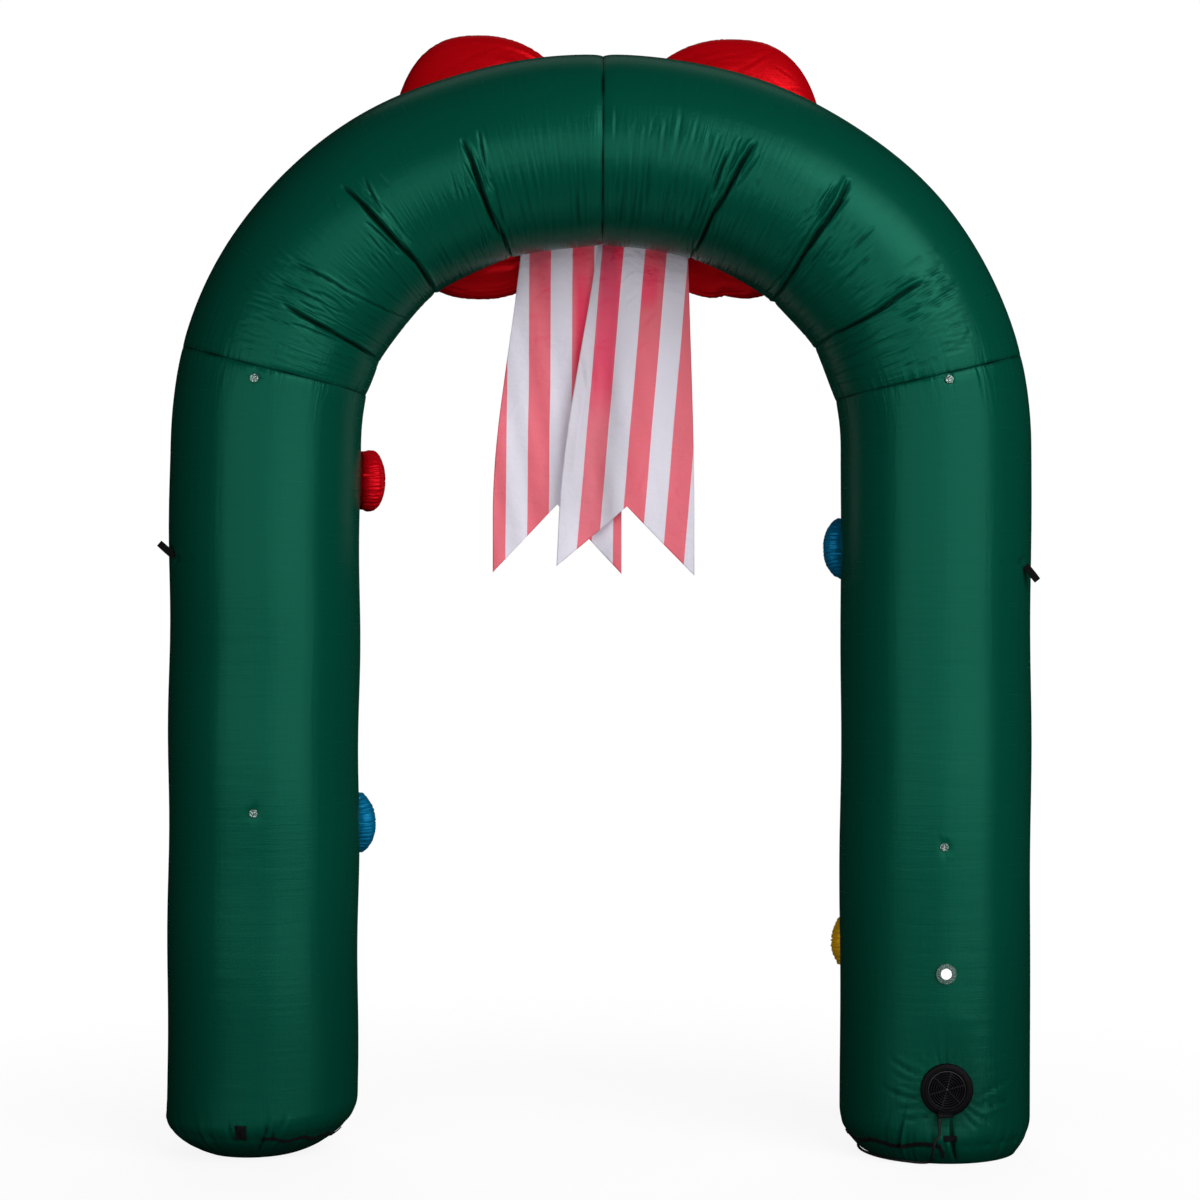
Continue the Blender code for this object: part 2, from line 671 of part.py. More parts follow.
def round_bar(name, points, radius, finish, resolution):
    """A round bar along points, with flat ends."""
    curve = bpy.data.curves.new(name, "CURVE")
    curve.dimensions = "3D"
    curve.bevel_depth = radius
    curve.bevel_resolution = resolution
    curve.use_fill_caps = True
    spline = curve.splines.new("POLY")
    spline.points.add(len(points) - 1)
    for target, point in zip(spline.points, points, strict=True):
        target.co = (*point, 1)
    return add_object(name, curve, finish)


# ---- the power lead ----
def smooth_route(points, step):
    """Points at even steps along a smooth curve through the route's own points."""
    fine = []
    for k in range(len(points) - 1):
        before = points[max(k - 1, 0)]
        after = points[min(k + 2, len(points) - 1)]
        here, there = points[k], points[k + 1]
        for part in range(20):
            t = part / 20
            fine.append(
                0.5
                * (
                    2 * here
                    + (there - before) * t
                    + (2 * before - 5 * here + 4 * there - after) * t * t
                    + (3 * here - before - 3 * there + after) * t**3
                )
            )
    fine.append(points[-1])
    total = sum((b - a).length for a, b in zip(fine, fine[1:]))
    count = round(total / step)
    even, walked, target = [fine[0]], 0.0, total / count
    for a, b in zip(fine, fine[1:]):
        walked += (b - a).length
        if walked >= target - 1e-9 and len(even) < count:
            even.append(b)
            target += total / count
    return [*even, fine[-1]]


def lead_route():
    """From the sleeve under the blower down the leg's back, round the foot and to the coil."""
    lift = LEAD_DIAMETER / 2 + 0.0012
    over_strap = LEAD_DIAMETER / 2 + 2 * STRAP_RADIUS + 2 * TOUCH
    ground = LEAD_DIAMETER / 2 + 0.0006
    down = [
        Vector((0.7010, ARCH_Y - TUBE_RADIUS - 0.0056, 0.0850)),
        Vector((0.7010, ARCH_Y - TUBE_RADIUS - 0.0056, 0.0700)),
        off_leg(1, 0.0590, 97.0, lift + 0.006),
        off_leg(1, 0.0480, 98.0, over_strap),
        off_leg(1, 0.0320, 99.2, lift + 0.006),
        off_leg(1, 0.0120, 102.0, lift + 0.001),
    ]
    for bearing in (109, 120, 134, 150, 168, 186, 204, 222):
        beside = leg_skin(1, LEAD_DIAMETER, bearing) + 0.0036 * leg_way(1, bearing)
        down.append(Vector((beside.x, beside.y, ground)))
    coil_side = LEAD_COIL_Y - LEAD_COIL_RADIUS
    coil_outside = LEAD_COIL_RADIUS + LEAD_COIL_BUNDLE - 0.0008
    down += [
        Vector((LEAD_COIL_X - 0.072, coil_side - 0.024, ground)),
        Vector((LEAD_COIL_X - 0.046, coil_side - 0.010, ground)),
        Vector((LEAD_COIL_X - coil_outside, LEAD_COIL_Y - 0.012, ground)),
    ]
    return down


def build_lead():
    route = smooth_route(lead_route(), 2.6 * LEAD_DIAMETER)
    round_bar("power_lead", route, LEAD_DIAMETER / 2, CABLE, 2)
    relief = [(0, 0.0), (0.0034, 0.0), (0.0046, 0.0150), (0.0046, 0.0195), (0, 0.0195)]
    top = Matrix.Translation(route[0] + Vector((0, 0, SEAM_GAP)))
    turned("lead_relief", list(reversed(relief)), top, CABLE, steps=16)
    bundle = LEAD_COIL_BUNDLE
    ring = [
        (LEAD_COIL_RADIUS + bundle * math.cos(a), bundle + 0.0002 + bundle * math.sin(a))
        for a in (math.radians(45 * -k) for k in range(8))
    ]
    spot = Matrix.Translation((LEAD_COIL_X, LEAD_COIL_Y, 0))
    turned("power_lead_coil", ring, spot, CABLE, steps=20)
    on_coil = 2 * bundle + 0.0005 + PLUG_HEIGHT / 2
    mains_plug(Vector((LEAD_COIL_X + BLADE_LENGTH / 2, LEAD_COIL_Y - LEAD_COIL_RADIUS, on_coil)))


def mains_plug(center):
    """The plug: a body that narrows towards its lead, with two flat blades."""
    bm = bmesh.new()
    bmesh.ops.create_cube(bm, size=1)
    bmesh.ops.scale(bm, vec=(PLUG_LENGTH, PLUG_WIDTH, PLUG_HEIGHT), verts=bm.verts)
    lead_end = [vert for vert in bm.verts if vert.co.x > 0]
    bmesh.ops.scale(bm, vec=(1, 0.55, 0.6), verts=lead_end)
    everything = bm.verts[:] + bm.edges[:] + bm.faces[:]
    bmesh.ops.bisect_plane(bm, geom=everything, plane_co=(0, 0, 0), plane_no=(0, 1, 0))
    bm.normal_update()
    halves = [face for face in bm.faces if face.normal.x < -0.9]
    bmesh.ops.inset_individual(bm, faces=halves, thickness=0.004)
    for half in halves:
        middle = half.calc_center_median()
        side = math.copysign(PLUG_WIDTH / 4, middle.y)
        for vert in half.verts:
            vert.co.y = side + math.copysign(BLADE_WIDTH / 2, vert.co.y - middle.y)
            vert.co.z = math.copysign(BLADE_HEIGHT / 2, vert.co.z)
    tips = bmesh.ops.extrude_discrete_faces(bm, faces=halves)["faces"]
    for tip in tips:
        bmesh.ops.translate(bm, vec=(-BLADE_LENGTH, 0, 0), verts=tip.verts)
    long_edges = [
        edge
        for edge in bm.edges
        if edge.verts[0].co.x * edge.verts[1].co.x < 0 and min(abs(v.co.y) for v in edge.verts) > 0.001
    ]
    bmesh.ops.bevel(
        bm, geom=long_edges, offset=0.003, segments=2, profile=0.5, affect="EDGES", material=-1
    )
    item = finish_mesh("power_plug", bm, CABLE)
    item.location = center


build_tube()
build_bow()
build_tails()
build_baubles()
build_clear_fittings()
build_intake()
build_webbing()
build_lead()
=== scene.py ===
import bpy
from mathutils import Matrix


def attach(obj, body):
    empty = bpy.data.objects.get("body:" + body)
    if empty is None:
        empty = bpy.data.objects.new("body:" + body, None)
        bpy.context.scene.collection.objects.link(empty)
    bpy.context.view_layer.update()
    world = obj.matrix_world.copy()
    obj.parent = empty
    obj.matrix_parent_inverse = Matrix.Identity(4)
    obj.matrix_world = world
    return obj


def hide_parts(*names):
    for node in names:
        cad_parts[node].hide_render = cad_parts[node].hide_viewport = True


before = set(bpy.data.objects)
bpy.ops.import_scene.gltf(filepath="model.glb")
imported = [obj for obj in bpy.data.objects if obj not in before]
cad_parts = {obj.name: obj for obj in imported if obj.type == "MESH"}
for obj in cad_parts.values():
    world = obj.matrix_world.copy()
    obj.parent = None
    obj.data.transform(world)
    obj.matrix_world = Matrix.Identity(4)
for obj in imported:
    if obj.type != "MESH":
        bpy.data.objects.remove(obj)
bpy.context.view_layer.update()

import math
import random
from collections import namedtuple

import bmesh
import bpy
import numpy as np
from mathutils import Matrix, Vector

# ---- The legs ----
# Each leg is a tube of satin-faced polyester taffeta that a fan keeps full. Its side seam runs
# down the outer side, and its round bottom is gathered by a drawstring onto a flat disc.
SIDES = ((-1, "left"), (1, "right"))
TUBE_Y = -0.085
TUBE_RADIUS = 0.2025
DEGREE_ROUND = math.radians(1) * TUBE_RADIUS  # metres round the tube for a degree of bearing
SPRING_Z = 1.497  # where the legs turn into the arch
LEG_X = {-1: 0.7175, 1: 0.7205}
LEG_LEAN = {-1: 0.0065, 1: -0.0035}
ARCH_RISE = 0.6415
ARCH_FULLNESS = {-1: 2.11, 1: 2.09}
METRES_PER_DEGREE = 0.0118  # along the middle of the bend
SEAM_TURN = {-1: 13.5, 1: 12.2}  # the leg seam, in degrees above the spring line
SEAM_RISE = -0.6  # degrees; the seam lies a little lower at its back and front than at its sides
SEAM_DRAW, SEAM_SOFTNESS = 0.0042, 0.009
FOOT_CONTACT = {-1: 0.100, 1: 0.160}
FOOT_SHIFT = {-1: 0.020, 1: 0.012}
FOOT_HEIGHT = {-1: 0.094, 1: 0.084}
FOOT_TILT = {-1: 0.018, 1: 0.006}
FOOT_HOLLOW = 1.7
BLOWER_X, BLOWER_Z, BLOWER_BEARING = 0.718, 0.161, 90.5
BLOWER_FLAT_Y = TUBE_Y - 0.1925
SEAM_GAP = 0.0003  # between pieces that are sewn or set on each other
HALF_GAP_TURN = SEAM_GAP / 2 / METRES_PER_DEGREE


def smooth_step(value):
    """0 to 1 with soft ends."""
    value = np.clip(value, 0.0, 1.0)
    return value * value * (3 - 2 * value)


def arch_line(side, turn):
    """The centre line of the bend, by the angle above one side's spring line."""
    angle = np.radians(turn)
    across, up = np.cos(angle), np.sin(angle)
    half = np.where(across > 0, LEG_X[side], LEG_X[-side])
    full = np.where(across > 0, ARCH_FULLNESS[side], ARCH_FULLNESS[-side])
    reach = ((np.abs(across) / half) ** full + (np.abs(up) / ARCH_RISE) ** full) ** (-1 / full)
    return side * reach * across, SPRING_Z + reach * up


def bend_skin(side, turn, bearing, swell):
    """Points on the bend. Bearing 0 is its outside, 90 the back, 180 the inside, 270 the front."""
    x, z = arch_line(side, turn)
    x_ahead, z_ahead = arch_line(side, turn + 0.05)
    x_behind, z_behind = arch_line(side, turn - 0.05)
    step = np.hypot(x_ahead - x_behind, z_ahead - z_behind)
    out_x, out_z = side * (z_ahead - z_behind) / step, -side * (x_ahead - x_behind) / step
    angle = np.radians(bearing)
    radius = TUBE_RADIUS + swell
    return np.stack(
        [
            x + radius * np.cos(angle) * out_x,
            TUBE_Y - radius * np.sin(angle),
            z + radius * np.cos(angle) * out_z,
        ],
        axis=-1,
    )


def foot_height(side, bearing):
    """How high the rounding of a foot reaches."""
    return FOOT_HEIGHT[side] - FOOT_TILT[side] * np.cos(np.radians(bearing))


def leg_skin(side, z, bearing, swell, hem=1.0):
    """Points on a leg; hem runs from 0 at the flat disc under the foot to 1 at the full tube."""
    angle = np.radians(bearing)
    radius = FOOT_CONTACT[side] + (TUBE_RADIUS - FOOT_CONTACT[side]) * hem**FOOT_HOLLOW + swell
    x = LEG_X[side] + LEG_LEAN[side] * (1 - z / SPRING_Z) + FOOT_SHIFT[side] * (1 - hem)
    return np.stack(
        [side * (x + radius * np.cos(angle)), TUBE_Y - radius * np.sin(angle), z + 0 * angle],
        axis=-1,
    )


def fold(u, v, start, end, depth, width, bow=0.0):
    """A sharp crease from start to end on the cloth, deepest in its middle, with a raised lip."""
    du, dv = end[0] - start[0], end[1] - start[1]
    length = math.hypot(du, dv)
    du, dv = du / length, dv / length
    along = ((u - start[0]) * du + (v - start[1]) * dv) / length
    inside = np.clip(along, 0, 1)
    across = (v - start[1]) * du - (u - start[0]) * dv - bow * 4 * inside * (1 - inside)
    taper = np.sin(np.pi * inside) ** 0.7 * ((along > 0) & (along < 1))
    groove = np.exp(-((np.abs(across) / width) ** 1.3))
    lip = 0.42 * np.exp(-(((across - 2.6 * width) / (1.7 * width)) ** 2))
    return -depth * taper * (groove - lip)


def ripple(place, seed, count=7, low=0.6, high=1.6):
    """Uneven waves along one direction; place is in wave lengths."""
    draw = random.Random(seed)
    waves = 0.0
    for _ in range(count):
        waves = waves + np.sin(math.tau * (place * draw.uniform(low, high) + draw.random()))
    return waves / math.sqrt(count)


def seam_turn(side, bearing):
    """Where the leg seam runs, in degrees above the spring line."""
    return SEAM_TURN[side] + SEAM_RISE * np.sin(np.radians(bearing)) ** 2


def seam_draw(distance, bearing):
    """How far a seam draws the cloth in, at a distance from it; least where the side panels lie."""
    return -SEAM_DRAW * np.exp(-distance / SEAM_SOFTNESS) * (0.35 + 0.65 * np.sin(np.radians(bearing)) ** 2)


def seam_puckers(u, distance, seed):
    """Short puckers that run away from a seam."""
    uneven = 0.5 + 0.5 * ripple(u / 0.11, seed + 5, 3)
    return 0.0009 * np.exp(-distance / 0.024) * ripple(u / 0.019, seed) * uneven


TETHER = {-1: (30.0, 1.262), 1: (33.0, 1.256)}  # bearing and height of each tether loop's root
BUTTONS = {-1: ((91.3, 0.734), (87.2, 1.630)), 1: ((92.0, 0.664), (86.0, 1.626))}
TETHER_FOLD_WIDTH = 0.0030
BUTTON_FOLDS, BUTTON_FOLD_DEPTH, BUTTON_FOLD_WIDTH = 7, 0.0011, 0.0022
TETHER_FOLDS = (  # lean in degrees, reach, depth, how far behind the root they start, bow
    (-22, 0.050, 0.0020, 0.006, 0.003),
    (-8, 0.075, 0.0030, 0.006, 0.003),
    (4, 0.085, 0.0042, 0.006, 0.003),
    (15, 0.070, 0.0026, 0.006, 0.003),
    (29, 0.045, 0.0016, 0.006, 0.003),
    (168, 0.050, 0.0022, 0.0, -0.002),
    (187, 0.060, 0.0026, 0.0, -0.002),
)
# The folds at each foot and at the fan's opening: their width and bow, then for each its start
# and its end, by bearing and height, and its depth.
LEFT_FOOT_FOLDS = (0.0032, 0.002, (
    ((101.0, 0.104), (95.0, 0.006), 0.0080),
    ((104.5, 0.100), (103.0, 0.036), 0.0050),
    ((107.0, 0.096), (104.0, 0.030), 0.0048),
    ((110.5, 0.106), (106.0, 0.046), 0.0056),
    ((80.0, 0.092), (84.5, 0.052), 0.0048),
    ((76.0, 0.096), (79.0, 0.046), 0.0044),
))
RIGHT_FOOT_FOLDS = (0.0042, 0.004, (
    ((91.8, 0.104), (91.0, 0.040), 0.0062),
    ((89.6, 0.106), (88.8, 0.044), 0.0068),
    ((87.0, 0.106), (83.8, 0.002), 0.0150),
    ((94.6, 0.104), (98.4, 0.030), 0.0050),
))
INTAKE_FOLDS = (0.0034, -0.003, (
    ((100.0, 0.140), (129.0, 0.158), 0.00468),
    ((99.0, 0.182), (125.0, 0.222), 0.00390),
    ((103.0, 0.168), (122.0, 0.190), 0.00286),
    ((102.0, 0.152), (118.0, 0.168), 0.00260),
    ((93.0, 0.112), (118.0, 0.098), 0.00442),
    ((100.0, 0.126), (121.0, 0.122), 0.00390),
    ((97.0, 0.202), (108.0, 0.226), 0.00286),
    ((72.0, 0.116), (46.0, 0.132), 0.00520),
    ((73.0, 0.122), (58.0, 0.140), 0.00338),
    ((72.0, 0.142), (44.0, 0.176), 0.00338),
    ((76.0, 0.112), (62.0, 0.086), 0.00390),
    ((80.0, 0.104), (72.0, 0.080), 0.00390),
))
SWELL_DEPTH, CRINKLE_DEPTH = 0.0011, 0.00014
DIMPLE_DEPTH, DIMPLE_RADIUS = 0.0030, 0.011  # where stitches or a button hold the cloth
GATHER_DEPTH, GATHER_PITCH, GATHER_TOP, GATHER_FADE = 0.0034, 0.026, 0.045, 0.026
STRING_Z, STRING_DEPTH, STRING_WIDTH = {-1: 0.056, 1: 0.043}, 0.0030, 0.007
LOW_SHADE, LOW_SHADE_Z, LOW_SHADE_FADE = 0.22, 0.25, 0.45  # painted shade: the cloth is drawn darker low down
FAN_SHADE, FAN_SHADE_RADIUS, FAN_SHADE_FADE = 0.40, 0.05, 0.035  # and more painted shade round the fan's opening
FAN_SHADE_ACROSS, FAN_SHADE_UP = 0.14, 0.22  # how much more painted shade on its outer side, and below it


def leg_folds(side):
    """Creases that the tether loop, the buttons, the drawstring and the fan's opening pull into a leg."""
    root_u, root_z = TETHER[side][0] * DEGREE_ROUND, TETHER[side][1]
    folds = []
    for lean, reach, depth, behind, bow in TETHER_FOLDS:
        angle = math.radians(lean)
        end = (root_u + reach * math.cos(angle), root_z - reach * math.sin(angle))
        folds.append(((root_u - behind, root_z), end, depth, TETHER_FOLD_WIDTH, bow))
    draw = random.Random(40 + side)
    for bearing, z in BUTTONS[side]:
        for _ in range(BUTTON_FOLDS):
            angle, reach = draw.uniform(0, math.tau), draw.uniform(0.015, 0.032)
            end = (bearing * DEGREE_ROUND + reach * math.cos(angle), z + reach * math.sin(angle))
            folds.append(((bearing * DEGREE_ROUND, z), end, BUTTON_FOLD_DEPTH, BUTTON_FOLD_WIDTH, 0.0))
    for width, bow, listed in (RIGHT_FOOT_FOLDS, INTAKE_FOLDS) if side > 0 else (LEFT_FOOT_FOLDS,):
        for start, end, depth in listed:
            start, end = (start[0] * DEGREE_ROUND, start[1]), (end[0] * DEGREE_ROUND, end[1])
            folds.append((start, end, depth, width, bow))
    return folds


def leg_relief(side, u, z, to_seam):
    """Every swell and hollow of a leg's cloth, in metres off the plain tube."""
    swell = SWELL_DEPTH * ripple(z / 0.55 + u / 1.3, 11 + side, 4) + seam_draw(to_seam, u / DEGREE_ROUND)
    swell = swell + seam_puckers(u, to_seam, 21 + side)
    swell = swell + CRINKLE_DEPTH * ripple(z / 0.045, 31 + side, 6) * (0.5 + 0.5 * ripple(u / 0.3, 3, 3))
    for start, end, depth, width, bow in leg_folds(side):
        swell = swell + fold(u, z, start, end, depth, width, bow)
    for bearing, height in (*BUTTONS[side], TETHER[side]):
        away = np.hypot(u - bearing * DEGREE_ROUND, z - height)
        swell = swell - DIMPLE_DEPTH * np.exp(-((away / DIMPLE_RADIUS) ** 2))
    gathers = np.exp(-np.clip(z - GATHER_TOP, 0, 1) / GATHER_FADE)
    uneven = np.clip(0.30 + 0.70 * ripple(u / 0.17, 71 + side, 3), 0, 2)
    waves = ripple((u + 0.25 * z) / GATHER_PITCH, 61 + side)
    swell = swell + GATHER_DEPTH * gathers * np.sign(waves) * np.abs(waves) ** 1.4 * uneven
    string = np.exp(-(((z - STRING_Z[side]) / STRING_WIDTH) ** 2)) * (0.6 + 0.4 * ripple(u / 0.03, 9))
    return swell - STRING_DEPTH * string


def leg_painted_shade(side, u, z, to_seam):
    """How much painted shade a place on a leg takes, from 0 to 1: in creases and seams, low down, and round
    the fan.
    """
    hollow = 0.0
    for start, end, depth, width, bow in leg_folds(side):
        hollow = hollow + fold(u, z, start, end, depth, width, bow)
    # Painted shade low down, and round the fan's opening.
    painted_dark = LOW_SHADE * (1 - smooth_step((z - LOW_SHADE_Z) / LOW_SHADE_FADE))
    if side > 0:
        across, up = u - BLOWER_BEARING * DEGREE_ROUND, z - BLOWER_Z
        away = np.hypot(across, up) + 0.001
        around_fan = FAN_SHADE - (FAN_SHADE_ACROSS * across + FAN_SHADE_UP * up) / away
        painted_dark = painted_dark + around_fan * np.exp(-np.clip(away - FAN_SHADE_RADIUS, 0, 1) / FAN_SHADE_FADE)
    return np.clip(smooth_step((-hollow - 0.0018) / 0.0044) + seam_shade(u, to_seam) + painted_dark, 0, 1)


def seam_shade(u, distance):
    """The dark line in a seam: stronger here, weaker there."""
    return (0.55 + 0.35 * ripple(u / 0.13, 91, 4)) * np.exp(-((distance / 0.0030) ** 2))


OPENING_RADIUS = 0.057  # inside it the cloth lies flat under the fan's ring
RING_PUCKER_DEPTH, RING_PUCKER_START, RING_PUCKER_FADE = 0.0022, 0.052, 0.030
FLAT_RADIUS, FLAT_FADE, FLAT_SOFTNESS = 0.050, 0.11, 0.0050


def draw_to_blower(points):
    """Holds the back of the right leg flat round the fan's opening, with puckers that run from it."""
    away = np.hypot(points[..., 0] - BLOWER_X, points[..., 2] - BLOWER_Z)
    around = np.arctan2(points[..., 2] - BLOWER_Z, points[..., 0] - BLOWER_X) / math.tau
    near = np.exp(-np.clip(away - RING_PUCKER_START, 0, 1) / RING_PUCKER_FADE)
    near = near * smooth_step((away - 0.044) / 0.014)
    patchy = np.clip(0.35 + 0.65 * ripple(around * 5, 83, 3), 0, 1.6)
    puckers = RING_PUCKER_DEPTH * near * ripple(around * 24, 81, 5, 0.75, 1.3) * patchy
    depth = BLOWER_FLAT_Y - points[..., 1]
    held = 0.5 * (depth + np.sqrt(depth**2 + FLAT_SOFTNESS**2))
    held = held * (1 - smooth_step((away - FLAT_RADIUS) / FLAT_FADE))
    back = points[..., 1] < TUBE_Y
    points[..., 1] = points[..., 1] + back * (held - np.where(away < 0.2, puckers, 0))
    opening = back & (away < OPENING_RADIUS)
    points[..., 1] = np.where(opening, np.maximum(points[..., 1], BLOWER_FLAT_Y), points[..., 1])
    return points


def held_leg_skin(side, z, bearing, swell, hem=1.0):
    """Points on a leg, with the right one drawn to the fan's opening."""
    points = leg_skin(side, z, bearing, swell, hem)
    return draw_to_blower(points) if side > 0 else points


def spaced(stops):
    """Numbers that run through (value, step) stops, each stretch at its own step."""
    values = [stops[0][0]]
    for (low, step), (high, _) in zip(stops, stops[1:]):
        count = max(1, round((high - low) / step))
        values += [low + (high - low) * k / count for k in range(1, count + 1)]
    return np.array(values)


def mesh_from(name, bm):
    """A new mesh with what was modelled."""
    mesh = bpy.data.meshes.new(name)
    bm.to_mesh(mesh)
    bm.free()
    return mesh


def turn_outwards(bm):
    """Turns every face of a closed piece outwards."""
    bmesh.ops.recalc_face_normals(bm, faces=bm.faces)
    if bm.calc_volume(signed=True) < 0:
        bmesh.ops.reverse_faces(bm, faces=bm.faces)


def points_of(mesh):
    """A mesh's vertices, a row of three numbers for each."""
    spots = np.empty(len(mesh.vertices) * 3)
    mesh.vertices.foreach_get("co", spots)
    return spots.reshape(-1, 3)


def grid_cloth(name, places):
    """An open cloth over a grid of points, with the row and the column of each of its vertices."""
    rows, columns = places.shape[:2]
    bm = bmesh.new()
    bmesh.ops.create_grid(bm, x_segments=columns - 1, y_segments=rows - 1, size=0.5)
    mesh = mesh_from(name, bm)
    spots = points_of(mesh)
    column = np.rint((spots[:, 0] + 0.5) * (columns - 1)).astype(int)
    row = np.rint((spots[:, 1] + 0.5) * (rows - 1)).astype(int)
    mesh.vertices.foreach_set("co", places[row, column].ravel())
    return mesh, row, column


def add_chart(mesh, flat):
    """A UV map in metres along the cloth, from a pair of numbers for each vertex."""
    corners = np.empty(len(mesh.loops), dtype=int)
    mesh.loops.foreach_get("vertex_index", corners)
    chart = mesh.uv_layers.new(name="cloth")
    chart.data.foreach_set("uv", flat[corners].ravel())


def add_mark(mesh, label, values):
    """A number for each vertex, which the cloth's material reads."""
    mark = mesh.attributes.new(label, "FLOAT", "POINT")
    mark.data.foreach_set("value", values)


def wrap_cloth(name, places, uv, **marks):
    """A tube of cloth from rows of points: wrapped round, closed at both ends, with its own UV map."""
    mesh, row, column = grid_cloth(name, np.array(places))
    add_chart(mesh, np.array(uv)[row, column])
    for label, values in marks.items():
        add_mark(mesh, label, np.array(values)[row, column])
    bm = bmesh.new()
    bm.from_mesh(mesh)
    bmesh.ops.remove_doubles(bm, verts=bm.verts, dist=0.00001)
    ends = bmesh.ops.holes_fill(bm, edges=bm.edges, sides=0)["faces"]
    bmesh.ops.poke(bm, faces=ends)
    turn_outwards(bm)
    bm.to_mesh(mesh)
    bm.free()
    mesh.shade_smooth()
    return mesh


def add_piece(name, data, finish, slot, *nodes):
    """Puts a finished piece on the arch, in place of its plain solids."""
    data.materials.append(finish)
    piece = bpy.data.objects.new(name, data)
    bpy.context.scene.collection.objects.link(piece)
    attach(piece, "root")
    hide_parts(*nodes)
    return piece


def shader_node(tree, kind, inputs=None, **settings):
    """A node with its settings and inputs; an input is a number, a colour or another node's output."""
    made = tree.nodes.new(kind)
    for key, value in settings.items():
        setattr(made, key, value)
    for socket, value in (inputs or {}).items():
        if isinstance(value, bpy.types.NodeSocket):
            tree.links.new(value, made.inputs[socket])
        else:
            made.inputs[socket].default_value = value
    return made


def place_on(tree):
    """The place on a piece, in metres."""
    return shader_node(tree, "ShaderNodeTexCoord").outputs["Object"]


def place_along(tree):
    """The place along a piece's cloth, in metres, from its UV map."""
    return shader_node(tree, "ShaderNodeUVMap", uv_map="cloth").outputs[0]


def marked(tree, label):
    """The number that a mesh carries at each vertex."""
    return shader_node(tree, "ShaderNodeAttribute", attribute_name=label).outputs["Fac"]


def calc(tree, operation, *values, **settings):
    """The result of a sum on numbers or other nodes' outputs."""
    made = shader_node(tree, "ShaderNodeMath", dict(enumerate(values)), operation=operation, **settings)
    return made.outputs[0]


def streaks(tree, place, scale, detail=2.0):
    """Noise drawn out along the cloth, by its scale per metre in each direction."""
    drawn = shader_node(
        tree, "ShaderNodeVectorMath", {0: place, 1: (*scale, 0)[:3]}, operation="MULTIPLY"
    )
    noise = shader_node(
        tree, "ShaderNodeTexNoise", {"Vector": drawn.outputs[0], "Scale": 1.0, "Detail": detail}
    )
    return noise.outputs["Fac"]


def blended(tree, share, low, high):
    """A mix of two colours, each given as a colour or as another node's output."""
    low, high = (end if isinstance(end, bpy.types.NodeSocket) else (*end, 1) for end in (low, high))
    return shader_node(tree, "ShaderNodeMix", {0: share, 6: low, 7: high}, data_type="RGBA").outputs[2]


def total(tree, *heights):
    """The sum of several heights."""
    height = heights[0]
    for other in heights[1:]:
        height = calc(tree, "ADD", height, other)
    return height


def colour_by(tree, shader, share, deep, pale):
    """Sets a surface's colour between a deep and a pale one."""
    tree.links.new(blended(tree, share, deep, pale), shader.inputs["Base Color"])


def roughen(tree, shader, noise, amount, least):
    """Sets a surface's roughness, which is a little uneven."""
    rough = calc(tree, "ADD", calc(tree, "MULTIPLY", noise, amount), least)
    tree.links.new(rough, shader.inputs["Roughness"])


def raise_surface(tree, shader, height):
    """Sets a surface's relief from heights in metres, and returns its direction."""
    bump = shader_node(tree, "ShaderNodeBump", {"Height": height, "Strength": 1.0, "Distance": 1.0})
    tree.links.new(bump.outputs[0], shader.inputs["Normal"])
    return bump.outputs[0]


def new_finish(name):
    """A new material, with its node tree and its main shader."""
    material = bpy.data.materials.new(name)
    material.use_nodes = True
    return material, material.node_tree, material.node_tree.nodes["Principled BSDF"]


WEAVE_PITCH = 0.0011
CREASE_SHADE, CREASE_DARK = 0.86, 0.10  # painted shade in creases and seams: how much of it shows, and how dark it is
